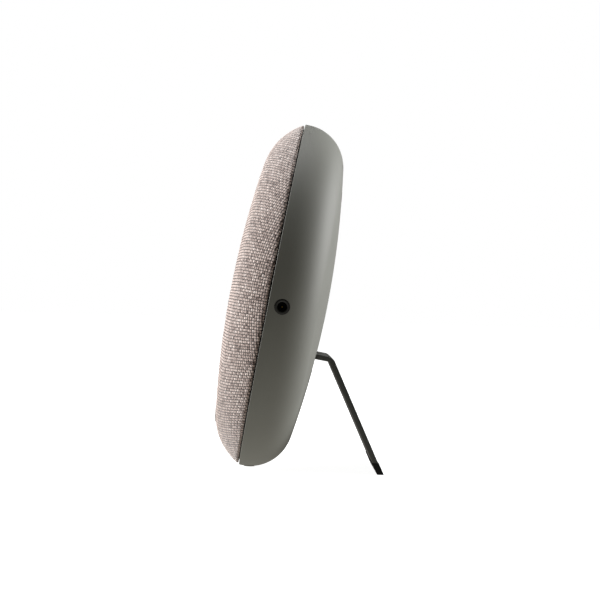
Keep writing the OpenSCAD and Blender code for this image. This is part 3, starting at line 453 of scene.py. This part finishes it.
def make_finishes():
    """Every finish by the name of the record's slot that it stands for."""
    return {
        "shell_paint": satin_shell_paint(),
        "fabric_melange": woven_melange(),
        "stand_steel": powder_coated_steel(),
        "black_rubber": moulded_rubber(),
        "grip_rubber": surface_grain("soft_touch_tpe", "#6a6963", "#72716b", 0.66, 0.3, 0.012),
        "dark_plastic": moulded("moulded_black_abs", "#2b2b29", "#343432", 0.38),
        "grille_plastic": moulded("glass_filled_nylon", "#242321", "#2f2d2a", 0.6, 0.4, 0.02),
        "gasket_foam": surface_grain("closed_cell_foam", "#1a0f0c", "#2a1a15", 0.9, 0.35, 0.05),
        "badge_metal": brushed("satin_anodised_aluminium", "#6b6762", "#787470", 0.5),
        "zinc_steel": brushed("zinc_plated_steel", "#8f9296", "#b3b6b9", 0.32),
        "black_screw": brushed("black_oxide_steel", "#2b2b2d", "#3a3a3c", 0.42),
        "pin_steel": brushed("ground_stainless_steel", "#a9abad", "#c6c8c9", 0.22),
        "spring_bronze": brushed("phosphor_bronze", "#a3763f", "#bf9256", 0.3),
        "ferrite": surface_grain("sintered_ferrite", "#1f1f21", "#2a2a2c", 0.6, 0.25, 0.02),
        "paper_cone": surface_grain("pressed_paper_pulp", "#201e1c", "#33302c", 0.9, 0.8, 0.06),
        "coil_copper": brushed("enamelled_copper_wire", "#9c5a34", "#c47a4b", 0.35, 0.12,
                               (40, 1, 40)),
        "spider_cloth": woven_sleeve("resin_dipped_cotton", "#a07838", "#c09a55", 0.5),
        "pcb_green": solder_mask(),
        "chip_epoxy": moulded("moulded_epoxy", "#151516", "#1e1e20", 0.55, 0.2, 0.005),
        "lamp_resin": moulded("lamp_resin", "#e4e2d2", "#f2f0e4", 0.25, 0.4, 0.002,
                              Subsurface_Weight=0.1),
        "white_plastic": moulded("white_polycarbonate", "#dcdcda", "#e8e8e6", 0.45),
        "diffuser_film": moulded("opal_polyester_film", "#d4d4cf", "#e0e0db", 0.6, 0.2, 0.004,
                                 Transmission_Weight=0.2),
        "ribbon_film": moulded("polyimide_ribbon", "#b9b49a", "#cdc8ae", 0.4, 0.3, 0.003),
        "tin_plate": brushed("tinned_steel_sheet", "#a8aaad", "#c2c4c6", 0.3),
        "thermal_putty": surface_grain("thermal_putty", "#7f8b99", "#95a1ae", 0.8, 0.6, 0.05),
        "bare_aluminium": brushed("rolled_aluminium", "#b4b6b8", "#cfd1d2", 0.36),
        "gold_contact": brushed("gold_plated_brass", "#b08f45", "#cfae62", 0.22),
        "red_wire": moulded("red_pvc_insulation", "#8d1512", "#a31c18", 0.4, 0.3, 0.004),
        "black_wire": moulded("black_pvc_insulation", "#111112", "#1b1b1c", 0.4, 0.3, 0.004),
        "button_plastic": moulded("moulded_button_abs", "#77756f", "#7e7c76", 0.42, 0.4, 0.006),
        "mute_orange": moulded("orange_abs", "#b3491f", "#c25427", 0.42, 0.4, 0.006),
    }


FINISH = make_finishes()
for node_name, node_object in frame["nodes"].items():
    own_slot = node_object.data.materials[0].name.split(".")[0]
    node_object.data.materials[0] = FINISH[own_slot]


# ---- Rear shell ----
LIP_R = 0.25  # rounding of the shell's front edge
SLOT_TOP = PIN_Z + STRAP_T / 2 + SLOT_CLEAR
SLOT_LOW = (PIN_Z - (REAR_DEPTH - PIN_Y) * math.tan(math.radians(LEG_ANGLE))
            - STRAP_T / 2 / math.cos(math.radians(LEG_ANGLE)) - SLOT_CLEAR)
SLOT_W, SLOT_H, SLOT_Z = STRAP_W + 2 * SLOT_CLEAR, SLOT_TOP - SLOT_LOW, (SLOT_TOP + SLOT_LOW) / 2
BUTTONS = {"volume_down_button": -1.5 * BUTTON_PITCH, "action_button": -0.5 * BUTTON_PITCH,
           "volume_up_button": 0.5 * BUTTON_PITCH}
SLIDER_X = 1.5 * BUTTON_PITCH + 2
REAR_SURFACE = rear_dome(0, 0, 160)
FRONT_SURFACE = front_dome(0, SEAM_GAP, 160)
CORNERS = [(x, z) for x in (-1, 1) for z in (-1, 1)]
BRACKET_POST_X, BRACKET_POST_DZ, BRACKET_POST_R = STRAP_W / 2 + MOVE_GAP + 2 + 4.6, 4.5, 3.0
BRACKET_BACK = PIN_Y - EYE_D / 2 - 0.8
BUTTON_POST_X, BUTTON_POST_R = 2 * BUTTON_PITCH + SLIDER_W + 6, 2.6
BUTTON_REACH = math.hypot(1.5 * BUTTON_PITCH + (BUTTON_D + 3) / 2, BUTTON_RISE + (BUTTON_D + 3) / 2)
FLANGE_TOP = float(depth_at(rear_dome(SHELL_WALL, 0, 160), BUTTON_REACH)) - MOVE_GAP
BUTTON_BOARD_BACK = FLANGE_TOP - 1 - 0.6 - 0.3 - 1 - 4
SCREW_SEAT, SCREW_PLAY = POST_FRONT + 4, 0.2
PILOT_R, PILOT_DEPTH = 0.9, 4.5
OUTSIDE, INSIDE = REAR_DEPTH + 5, PIN_Y - 3  # behind the whole shell, and in front of its wall


def disc_rod(x, z, r, front, back, steps=48):
    """A round rod along the disc's axis."""
    return prism(arc((x, z), r, 0, 360, steps + 1)[:-1], front, back, 1)


def rim_reach(y):
    """Radius of the shell's side at a distance behind the seam."""
    return REAR_X + np.sqrt(REAR_CORNER_R ** 2 - (y - RIM_BAND) ** 2)


def on_rear(a, b, rise):
    """Points on the shell's back, over x = a and z = b, lifted by rise."""
    return np.c_[a, depth_at(REAR_SURFACE, np.hypot(a, b)) + rise, b]


def on_front(a, b, rise):
    """Points on the fabric's face, over x = a and z = b, lifted by rise."""
    return np.c_[a, -depth_at(FRONT_SURFACE, np.hypot(a, b)) - rise, b]


def under_rim(a, b, rise):
    """a runs round the bottom of the rim and b back from the seam."""
    r = rim_reach(b) + rise
    return np.c_[r * np.sin(a / SHELL_R), b, -r * np.cos(a / SHELL_R)]


def dense(outline, step=1.2):
    """The closed outline with its long sides divided."""
    points = []
    for p, q in zip(outline, np.roll(outline, -1, axis=0)):
        count = max(1, round(float(np.hypot(*(q - p))) / step))
        points += [p + (q - p) * k / count for k in range(count)]
    return np.array(points)


def pillow(place, w, h, r, rise, drop, edge, x=0.0, z=0.0, dish=0.0):
    """A shallow rounded tile on a surface: its side, its rounded edge and its top."""
    base = dense(round_rect(w, h, r))

    def ring(inset, height):
        flat = base * ((w - 2 * inset) / w, (h - 2 * inset) / h)
        return place(flat[:, 0] + x, flat[:, 1] + z, height)

    rings = [ring(0, -drop)]
    rings += [ring(edge * (1 - math.cos(a)), rise - edge + edge * math.sin(a))
              for a in np.linspace(0, math.pi / 2, 5)]
    limit = min(w, h) / 2
    rings += [ring(edge + (limit - edge) * t, rise - dish * math.sin(t * math.pi / 2))
              for t in (0.15, 0.35, 0.6, 0.85, 0.97)]
    return loft(rings)


def make_rear_shell():
    inside = rear_dome(SHELL_WALL, 0, 28)
    outside = rear_dome(0, 0, 40)[::-1]
    lip = arc((SHELL_R - LIP_R, LIP_R), LIP_R, -90, 0, 8)
    inner_edge = [(SHELL_R - SHELL_WALL, 0.25), (SHELL_R - SHELL_WALL + 0.25, 0)]
    outline = np.concatenate([inside[:-1], inner_edge, lip, outside[outside[:, 1] > LIP_R + 0.1]])
    shell = solid("rear_shell_body", [lathe(outline, 288)])
    wall = rear_dome(SHELL_WALL / 2, 0, 160)
    posts = [(x * POST_X, z * POST_Z, POST_R, POST_FRONT) for x, z in CORNERS]
    posts += [(x * BRACKET_POST_X, PIN_Z + z * BRACKET_POST_DZ, BRACKET_POST_R, BRACKET_BACK)
              for x, z in CORNERS]
    posts += [(x * BUTTON_POST_X, BUTTON_RISE, BUTTON_POST_R, BUTTON_BOARD_BACK) for x in (-1, 1)]
    carve(shell, solid("posts", [disc_rod(x, z, r, front, depth_at(wall, math.hypot(x, z) + r))
                                 for x, z, r, front in posts]), "UNION")
    holes = [prism(round_rect(SLOT_W + 2 * BEZEL_T, SLOT_H + 2 * BEZEL_T, SLOT_R + BEZEL_T)
                   + (0, SLOT_Z), PIN_Y, OUTSIDE, 1),
             prism(round_rect(SLIDER_W + SLIDER_TRAVEL + 2 * MOVE_GAP, SLIDER_H + 2 * MOVE_GAP, 1.0)
                   + (SLIDER_X + SLIDER_TRAVEL / 2, BUTTON_RISE), INSIDE, OUTSIDE, 1),
             prism(arc((INLET_DEPTH, -INLET_DROP), INLET_RING_D / 2 + 0.1, 0, 360, 65)[:-1],
                   SHELL_R - 12, SHELL_R + 3, 0)]
    holes += [disc_rod(x * POST_X, z * POST_Z, SHELL_HEAD_D / 2 + SCREW_PLAY, SCREW_SEAT, OUTSIDE)
              for x, z in CORNERS]
    holes += [disc_rod(x, BUTTON_RISE, BUTTON_D / 2 + MOVE_GAP, INSIDE, OUTSIDE, 64)
              for x in BUTTONS.values()]
    carve(shell, solid("holes", holes), "DIFFERENCE")
    bores = [disc_rod(x * POST_X, z * POST_Z, SHELL_SCREW_D / 2 + SCREW_PLAY, POST_FRONT - 1,
                      SCREW_SEAT + 0.5) for x, z in CORNERS]
    bores += [disc_rod(x * BRACKET_POST_X, PIN_Z + z * BRACKET_POST_DZ, PILOT_R, BRACKET_BACK - 1,
                       BRACKET_BACK + PILOT_DEPTH) for x, z in CORNERS]
    groove = pillow(under_rim, 2 * PAD_HALF + 0.1, PAD_W + 0.1, 1.5, 1.0, PAD_SINK, 0.05,
                    z=PAD_Y + PAD_W / 2)
    carve(shell, solid("bores", bores + [groove]), "DIFFERENCE")
    return finished(shell, "body", ["rear_shell"], "shell_paint")


# ---- Fabric ----
HEM_R = 93.0       # the folded-in hem ends here
TUCK_R = 0.45      # rounding where the cloth turns in at the seam
EDGE_FULL = 0.45   # how far the cloth swells over the grille's edge, close to the seam
RELIEF_MM = 0.18   # height of a thread where it passes over
SWELL_MM = 5.0     # how far in from the seam the swelling reaches
SLUB_MM, SLUB_EVERY = 0.03, 9  # a slub's thickness, and the half threads from one to the next


def cloth_path():
    """Where the cloth runs from the middle of the dome out to the seam and in behind the grille,
    as distance along the cloth, radius and depth in front of the seam."""
    face = front_dome(0, SEAM_GAP + TUCK_R, 220)
    r_end, d_end = face[-1]
    fold = arc((r_end - TUCK_R, d_end), TUCK_R, 0, -90, 10)[1:]
    hem = np.c_[np.linspace(fold[-1][0], HEM_R, 8)[1:], np.full(7, fold[-1][1])]
    line = np.concatenate([face, fold, hem])
    run = np.concatenate([[0], np.cumsum(np.hypot(*np.diff(line, axis=0).T))])
    return run, line, np.interp(r_end, line[:len(face), 0], run[:len(face)])


def make_fabric():
    """One woven sheet, laid over the dome without stretch along its radii: a grid with a point at
    each crossing, each pit and halfway between."""
    run, line, seam_run = cloth_path()
    reach = run[-1]
    count = int(reach / (THREAD_MM / 2)) + 1
    index = np.arange(-count, count + 1)
    column, row = np.meshgrid(index, index)
    flat = np.stack([column, row], -1) * THREAD_MM / 2
    inside = np.hypot(flat[..., 0], flat[..., 1]) <= reach
    keep = inside[:-1, :-1] & inside[1:, :-1] & inside[:-1, 1:] & inside[1:, 1:]
    used = np.zeros_like(inside)
    for i, j in ((0, 0), (0, 1), (1, 0), (1, 1)):
        used[i:used.shape[0] - 1 + i, j:used.shape[1] - 1 + j] |= keep
    number = np.full(used.shape, -1)
    number[used] = np.arange(used.sum())
    a, b, c, d = number[:-1, :-1], number[:-1, 1:], number[1:, 1:], number[1:, :-1]
    # each square is split between the two of its corners that lie halfway up a thread
    odd = ((column + row) % 2 == 1)[:-1, :-1]
    faces = np.concatenate([
        np.stack([a, b, c], -1)[keep & odd], np.stack([a, c, d], -1)[keep & odd],
        np.stack([a, b, d], -1)[keep & ~odd], np.stack([b, c, d], -1)[keep & ~odd]])
    spot = flat[used]
    far = np.hypot(spot[:, 0], spot[:, 1])
    # the sheet's outermost points are drawn out to the hem's even edge
    full = keep[:-1, :-1] & keep[1:, :-1] & keep[:-1, 1:] & keep[1:, 1:]
    middle = np.zeros_like(used)
    middle[1:-1, 1:-1] = full
    spread = np.where(middle[used], far, reach)
    turn = np.arctan2(spot[:, 0], spot[:, 1])
    radius, depth = np.interp(spread, run, line[:, 0]), np.interp(spread, run, line[:, 1])
    ahead, behind = np.minimum(spread + 0.05, reach), spread - 0.05
    slope = np.stack([np.interp(ahead, run, line[:, k]) - np.interp(behind, run, line[:, k])
                      for k in (0, 1)], -1)
    slope /= np.maximum(np.hypot(slope[:, 0], slope[:, 1]), 1e-9)[:, None]
    normal = np.stack([-slope[:, 1], slope[:, 0]], -1)
    random = np.random.default_rng(7)
    rise = 1.0 - (np.abs(column) % 2 + np.abs(row) % 2)[used]  # 1 on a crossing, -1 in a pit
    lift = RELIEF_MM * rise * random.uniform(0.6, 1.25, len(spot))
    # slubs: long soft thick places in a thread
    slubs = index[::SLUB_EVERY]
    thick = np.interp(index, slubs, random.normal(0, SLUB_MM, len(slubs)))
    lift += thick[column[used] + count] + thick[row[used] + count]
    fade = np.clip(seam_run + 1.0 - spread, 0, 1)  # the hem behind the seam lies flat
    lift *= fade
    lift += EDGE_FULL * np.exp(-((spread - seam_run) / SWELL_MM) ** 2) * fade
    radius = radius + normal[:, 0] * lift
    depth = depth + normal[:, 1] * lift
    points = np.c_[radius * np.sin(turn), -depth, radius * np.cos(turn)]
    mesh = raw_mesh("front_fabric_weave", in_disc(points), faces)
    uv = mesh.uv_layers.new(name="cloth")
    corner = np.zeros(len(mesh.loops), np.int32)
    mesh.loops.foreach_get("vertex_index", corner)
    uv.data.foreach_set("uv", (spot[corner] / THREAD_MM).astype(np.float32).ravel())
    mesh.shade_smooth()
    first = mesh.polygons[int(np.argmin(far[faces].sum(1)))]
    if first.normal.y > 0:
        mesh.flip_normals()
    piece = new_object("front_fabric_weave", mesh)
    mesh.materials.append(FINISH["fabric_melange"])
    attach(piece, "body")
    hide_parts("front_fabric")
    return piece


# ---- Stand ----
LEG_TURN = 90 - LEG_ANGLE
LEG_WORLD = LEG_ANGLE - math.degrees(LEAN)
BEND_Y, BEND_Z = PIN_Y + ARM_LEN, PIN_Z - STRAP_T / 2 - BEND_R
BEND_MID_R = BEND_R + STRAP_T / 2
LEG_START = np.array((BEND_Y + BEND_MID_R * math.sin(math.radians(LEG_TURN)),
                      BEND_Z + BEND_MID_R * math.cos(math.radians(LEG_TURN))))
LEG_START_HEIGHT = CENTRE.z / MM - LEG_START[0] * math.sin(LEAN) + LEG_START[1] * math.cos(LEAN)
STRAP_EDGE_R, FOOT_EDGE_R = 0.45, 0.5


def leg_point(out, height):
    """A point beside the leg's middle line, out behind it, at a height over the table."""
    down = ((LEG_START_HEIGHT + out * math.sin(math.radians(LEG_WORLD)) - height)
            / math.cos(math.radians(LEG_WORLD)))
    along = np.array((math.sin(math.radians(LEG_ANGLE)), -math.cos(math.radians(LEG_ANGLE))))
    side = np.array((math.cos(math.radians(LEG_ANGLE)), math.sin(math.radians(LEG_ANGLE))))
    return LEG_START + out * side + down * along


def leg_bar(thickness, low, high, width):
    """A bar of the leg between two heights, as a closed shape."""
    half = thickness / 2
    outline = [leg_point(out, height) for out, height in
               ((-half, high), (half, high), (half, low), (-half, low))]
    return prism(outline, -width / 2, width / 2, 0)


def make_strap():
    bend = [90, 90 - LEG_TURN]
    centre = (BEND_Y, BEND_Z)
    start = PIN_Y + EYE_D / 2 + MOVE_GAP
    outline = np.concatenate([
        [(start, PIN_Z - STRAP_T / 2), (start, PIN_Z + STRAP_T / 2)],
        arc(centre, BEND_R + STRAP_T, *bend, 20),
        [leg_point(STRAP_T / 2, FOOT_H), leg_point(-STRAP_T / 2, FOOT_H)],
        arc(centre, BEND_R, *bend[::-1], 20)])
    strap = solid("stand_strap_body", [prism(outline, -STRAP_W / 2, STRAP_W / 2, 0)])
    tidy(strap.data, bevel=STRAP_EDGE_R, sharp=50)
    open_at = math.degrees(math.asin(STRAP_T / EYE_D))
    eye = np.concatenate([arc((PIN_Y, PIN_Z), EYE_D / 2, open_at, 360 - open_at, 48),
                          [(start + 1, PIN_Z - STRAP_T / 2), (start + 1, PIN_Z + STRAP_T / 2)]])
    carve(strap, solid("eye", [prism(eye, -EYE_W / 2, EYE_W / 2, 0)]), "UNION")
    tongue = leg_bar(TONGUE_T, FOOT_H / 3, FOOT_H + 1, STRAP_W - TONGUE_IN)
    carve(strap, solid("tongue", [tongue]), "UNION")
    bore = arc((PIN_Y, PIN_Z), PIN_D / 2 + PIN_CLEARANCE, 0, 360, 49)[:-1]
    carve(strap, solid("bore", [prism(bore, -STRAP_W, STRAP_W, 0)]), "DIFFERENCE")
    finished(strap, "stand", ["stand_strap"], "stand_steel")


def make_foot():
    foot = solid("stand_foot_pad",
                 [leg_bar(STRAP_T + 2 * FOOT_LIP, 0, FOOT_H, STRAP_W + 2 * FOOT_LIP)])
    tidy(foot.data, bevel=FOOT_EDGE_R, sharp=40)
    pocket = leg_bar(TONGUE_T, FOOT_H / 3, FOOT_H + 4, STRAP_W - TONGUE_IN)
    carve(foot, solid("pocket", [pocket]), "DIFFERENCE")
    finished(foot, "stand", ["stand_foot"], "black_rubber")


# ---- Small pieces of the disc ----
def make_badge():
    tile = pillow(on_front, BADGE_W, BADGE_H, BADGE_H / 2 - 0.1, BADGE_T, 0.0, 0.22, z=-BADGE_DROP)
    finished(solid("badge_plate", [tile]), "body", ["badge"], "badge_metal")


def make_grip_pad():
    tile = pillow(under_rim, 2 * PAD_HALF - 0.1, PAD_W - 0.1, 1.4, PAD_PROUD, PAD_SINK, 0.3,
                  z=PAD_Y + PAD_W / 2)
    finished(solid("bottom_grip_pad", [tile]), "body", ["bottom_pad"], "grip_rubber")


def make_bezel():
    """A rounded frame in the slot's mouth that follows the dome."""
    section = [(BEZEL_T, SHELL_WALL), (BEZEL_T, 0.25), (BEZEL_T - 0.15, 0.08), (0.35, 0.08),
               (0.1, 0.18), (0, 0.45), (0, SHELL_WALL)]
    rings = []
    for grow, inset in section:
        outline = dense(round_rect(SLOT_W + 2 * grow, SLOT_H + 2 * grow, SLOT_R + grow), 2.0)
        rings.append(on_rear(outline[:, 0], outline[:, 1] + SLOT_Z, -inset))
    rings.append(rings[0])
    finished(solid("stand_slot_bezel", [loft(rings, closed_ends=False)]), "body", ["slot_bezel"],
             "dark_plastic")


def button_marks(kind, x):
    """Raised marks on a button: a bar, a bar and an upright, or a dot."""
    top = -BUTTON_SINK + 0.1
    bars = {"volume_down_button": [(3.4, 0.7)], "volume_up_button": [(3.4, 0.7), (0.7, 3.4)],
            "action_button": [(1.5, 1.5)]}[kind]
    return [pillow(on_rear, w, h, min(w, h) / 2 - 0.02, top, 0.8, 0.08, x=x, z=BUTTON_RISE)
            for w, h in bars]


def make_controls():
    for kind, x in BUTTONS.items():
        tile = pillow(on_rear, BUTTON_D, BUTTON_D, BUTTON_D / 2 - 0.01, -BUTTON_SINK, 4.5, 0.5,
                      x=x, z=BUTTON_RISE, dish=0.35)
        cap = solid(kind + "_cap", [tile])
        for mark in button_marks(kind, x):
            carve(cap, solid("mark", [mark]), "UNION")
        flange = disc_rod(x, BUTTON_RISE, BUTTON_D / 2 + 1.5, FLANGE_TOP - 1, FLANGE_TOP)
        carve(cap, solid("flange", [flange]), "UNION")
        stem = disc_rod(x, BUTTON_RISE, 2, FLANGE_TOP - 2, FLANGE_TOP - 0.5)
        carve(cap, solid("stem", [stem]), "UNION")
        finished(cap, kind, [kind], "button_plastic")
    tile = pillow(on_rear, SLIDER_W, SLIDER_H, 0.8, -BUTTON_SINK, 4.0, 0.4,
                  x=SLIDER_X, z=BUTTON_RISE)
    slider = solid("mute_slider_knob", [tile])
    ribs = [prism(np.array(((-0.22, -1.3), (0.22, -1.3), (0.22, 1.3), (-0.22, 1.3)))
                  + (SLIDER_X + step * 1.3, BUTTON_RISE),
                  depth_at(REAR_SURFACE, math.hypot(SLIDER_X, BUTTON_RISE)) - 0.75, 40, 1)
            for step in (-1, 0, 1)]
    carve(slider, solid("grip_cuts", ribs), "DIFFERENCE")
    flange = prism(round_rect(SLIDER_W + 2, SLIDER_H + 3, 0.8) + (SLIDER_X, BUTTON_RISE),
                   FLANGE_TOP - 1, FLANGE_TOP, 1)
    carve(slider, solid("flange", [flange]), "UNION")
    finished(slider, "mute_slider", ["mute_slider"], "mute_orange")


def make_inlet_ring():
    """The power inlet's bushing: a rounded ring that follows the rim, chamfered into its bore."""
    bore, outer, length = INLET_BORE_D / 2, INLET_RING_D / 2, 6.0
    face_x = math.sqrt(rim_reach(INLET_DEPTH) ** 2 - INLET_DROP ** 2)
    turn = np.linspace(0, 2 * math.pi, 72, endpoint=False)

    def ring(r, inset):
        y, z = INLET_DEPTH + r * np.cos(turn), -INLET_DROP + r * np.sin(turn)
        if inset is None:
            return np.c_[np.full(len(turn), face_x - length), y, z]
        return np.c_[np.sqrt(rim_reach(y) ** 2 - z ** 2) - inset, y, z]

    rings = [ring(bore, None), ring(bore, 0.75), ring(bore + 0.12, 0.5), ring(bore + 0.42, 0.22),
             ring(bore + 0.55, 0.18), ring(outer - 0.2, 0.18), ring(outer - 0.05, 0.25),
             ring(outer, 0.45), ring(outer, None)]
    rings.append(rings[0])
    finished(solid("inlet_ring", [loft(rings, closed_ends=False)]), "body", ["inlet_bushing"],
             "dark_plastic", sharp=50)


def make_inlet_pin():
    """The contact pin, round at its tip and set well back in the socket."""
    tip, root, r = SHELL_R - 6.0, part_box("inlet_pin")[0].x / MM, 0.825
    line = [(r * math.cos(a), tip - r + r * math.sin(a)) for a in np.linspace(0, math.pi / 2, 8)]
    points, faces = lathe([(0, root), (r, root)] + line[:-1] + [(0, tip)], 32)
    along = np.c_[points[:, 1], points[:, 0] + INLET_DEPTH, points[:, 2] - INLET_DROP]
    finished(solid("inlet_contact_pin", [(along, faces)]), "body", ["inlet_pin"], "gold_contact")


# ---- Shell screws, by geometry nodes ----
def screw_shape():
    """One pan-head screw with a six-lobed recess: its head's seat is at the origin, its head to +Y."""
    head_r, head_t, shank_r, length = SHELL_HEAD_D / 2, 2.0, SHELL_SCREW_D * 0.38, 9.0
    dome_line = [(head_r * math.cos(a), head_t * (0.35 + 0.65 * math.sin(a)))
                 for a in np.linspace(0, math.pi / 2, 8)]
    outline = ([(0, -length), (shank_r * 0.6, -length), (shank_r, -length + 0.6), (shank_r, 0),
                (head_r, 0)] + dome_line[:-1] + [(0, head_t)])
    points, faces = lathe(outline, 48)
    screw = new_object("screw", raw_mesh("screw", points * MM, faces))
    tidy(screw.data)
    angles = np.linspace(0, 2 * math.pi, 48, endpoint=False)
    lobes = 1.0 + 0.18 * np.cos(6 * angles)
    recess, recess_faces = prism(np.c_[lobes * np.sin(angles), lobes * np.cos(angles)], 0.8, 5, 1)
    tool = new_object("recess", raw_mesh("recess", recess * MM, recess_faces))
    tidy(tool.data)
    return carve(screw, tool, "DIFFERENCE")


def screw_tree():
    """Puts a screw on the corners of a rectangle, each turned at random about its axis."""
    tree = bpy.data.node_groups.new("corner_screws", "GeometryNodeTree")
    sockets = {}
    for name, kind in (("Geometry", "Geometry"), ("Screw", "Object"), ("Across", "Float"),
                       ("Upward", "Float"), ("Seat", "Float"), ("Finish", "Material"),
                       ("Seed", "Int")):
        sockets[name] = tree.interface.new_socket(name, in_out="INPUT",
                                                  socket_type="NodeSocket" + kind).identifier
    tree.interface.new_socket("Geometry", in_out="OUTPUT", socket_type="NodeSocketGeometry")
    given = add(tree, "NodeGroupInput")
    grid = add(tree, "GeometryNodeMeshGrid", None, {
        "Size X": (given, "Across"), "Size Y": (given, "Upward"), "Vertices X": 2, "Vertices Y": 2})
    shift = add(tree, "ShaderNodeCombineXYZ", None, {"Y": (given, "Seat")})
    stand = add(tree, "GeometryNodeTransform", None, {
        "Geometry": grid, "Translation": shift, "Rotation": (math.pi / 2, 0, 0)})
    shape = add(tree, "GeometryNodeObjectInfo", None, {"Object": (given, "Screw")})
    turn = add(tree, "FunctionNodeRandomValue", {"data_type": "FLOAT_VECTOR"},
               {1: (0, 2 * math.pi, 0), "Seed": (given, "Seed")})
    place = add(tree, "GeometryNodeInstanceOnPoints", None, {
        "Points": stand, "Instance": (shape, "Geometry"), "Rotation": turn})
    real = add(tree, "GeometryNodeRealizeInstances", None, {"Geometry": place})
    paint = add(tree, "GeometryNodeSetMaterial", None, {
        "Geometry": real, "Material": (given, "Finish")})
    add(tree, "NodeGroupOutput", None, {"Geometry": paint})
    return tree, sockets


def make_shell_screws():
    shape = screw_shape()
    piece = new_object("shell_screw_set", bpy.data.meshes.new("shell_screw_set"))
    tree, sockets = screw_tree()
    step = piece.modifiers.new("screws", "NODES")
    step.node_group = tree
    for name, value in {"Screw": shape, "Across": 2 * POST_X * MM, "Upward": 2 * POST_Z * MM,
                        "Seat": SCREW_SEAT * MM, "Finish": FINISH["zinc_steel"], "Seed": 5}.items():
        step[sockets[name]] = value
    apply_modifiers(piece)
    piece.data.transform(DISC @ Matrix.Scale(1 / MM, 4))
    bpy.data.objects.remove(shape)
    piece.data.shade_smooth()
    piece.data.set_sharp_from_angle(angle=math.radians(35))
    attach(piece, "body")
    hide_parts("shell_screws")


make_rear_shell()
make_fabric()
make_strap()
make_foot()
make_badge()
make_grip_pad()
make_bezel()
make_controls()
make_inlet_ring()
make_inlet_pin()
make_shell_screws()


# ---- Studio ----
def make_floor():
    """A pale paper sweep that reads as white, and throws no light back on the object."""
    material, tree, surface = blank("white_paper", Base_Color=colour("#b4b4b4"), Roughness=0.9,
                                    Emission_Color=(1, 1, 1, 1))
    place = add(tree, "ShaderNodeTexCoord")
    far = add(tree, "ShaderNodeVectorMath", {"operation": "LENGTH"}, {0: (place, "Object")})
    lift = add(tree, "ShaderNodeMapRange", None, {
        "Value": (far, "Value"), "From Min": 0.1, "From Max": 0.8, "To Min": 0.96, "To Max": 1.05})
    tree.links.new(lift.outputs["Result"], surface.inputs["Emission Strength"])
    mesh = raw_mesh("floor", [(-9, -9, 0), (9, -9, 0), (9, 9, 0), (-9, 9, 0)], [(0, 1, 2, 3)])
    mesh.transform(Matrix.Translation((0, 0, min(0, cad_low.z))))
    floor = new_object("floor", mesh)
    mesh.materials.append(material)
    floor.visible_diffuse = floor.visible_glossy = False


def soft_box(name, place, size, power):
    """A square soft light that faces the object."""
    data = bpy.data.lights.new(name, "AREA")
    data.shape, data.size, data.energy = "SQUARE", size, power
    lamp = new_object(name, data)
    lamp.location = place
    lamp.rotation_mode = "QUATERNION"
    lamp.rotation_quaternion = (CENTRE - Vector(place)).to_track_quat("-Z", "Y")


TABLE_GLOW, ROOM_GLOW = 0.82, 0.06  # light from straight below, and from the sides and above


def make_surroundings():
    """White all round to the eye. To the object, a dim room over a table that throws light up."""
    world = bpy.data.worlds.new("studio")
    bpy.context.scene.world = world
    world.use_nodes = True
    tree = world.node_tree
    tree.nodes.clear()
    ray = add(tree, "ShaderNodeLightPath")
    place = add(tree, "ShaderNodeTexCoord")
    split = add(tree, "ShaderNodeSeparateXYZ", None, {"Vector": (place, "Generated")})
    glow = add(tree, "ShaderNodeMapRange", None, {
        "Value": (split, "Z"), "From Min": -1.0, "From Max": 0.0,
        "To Min": TABLE_GLOW, "To Max": ROOM_GLOW})
    room = add(tree, "ShaderNodeBackground", None, {"Color": (1, 0.96, 0.88, 1), "Strength": glow})
    paper = add(tree, "ShaderNodeBackground", None, {"Color": (1, 1, 1, 1), "Strength": 1.0})
    both = add(tree, "ShaderNodeMixShader", None, {0: (ray, "Is Camera Ray"), 1: room, 2: paper})
    add(tree, "ShaderNodeOutputWorld", None, {"Surface": both})


CAMERA_PLACE = (700.0, -10.59, 92.71)
CAMERA_TURN = (0.723, -0.484, 1.785)  # yaw, pitch and roll, in degrees
CAMERA_LENS = 70.54


def make_camera():
    """Level with the disc's middle, square to its edge, from the side of the power inlet."""
    data = bpy.data.cameras.new("camera")
    data.sensor_width, data.lens = 36.0, CAMERA_LENS
    camera = new_object("camera", data)
    yaw, pitch, roll = (math.radians(v) for v in CAMERA_TURN)
    look = Vector((-math.cos(pitch) * math.cos(yaw), math.cos(pitch) * math.sin(yaw),
                   -math.sin(pitch)))
    right = look.cross(Vector((0, 0, 1))).normalized()
    up = right.cross(look)
    tilted_right = right * math.cos(roll) + up * math.sin(roll)
    tilted_up = up * math.cos(roll) - right * math.sin(roll)
    turn = Matrix((tilted_right, tilted_up, -look)).transposed()
    camera.matrix_world = Matrix.Translation(Vector(CAMERA_PLACE) * MM) @ turn.to_4x4()
    bpy.context.scene.camera = camera


make_floor()
soft_box("front_light", (-0.3, -1.3, 0.4), 0.78, 34)
soft_box("back_light", (-0.52, 1.25, 0.42), 0.84, 24)
soft_box("top_light", (-0.2, 0.1, 1.4), 0.8, 10)
make_surroundings()
make_camera()
bpy.context.scene.view_settings.view_transform = "Standard"
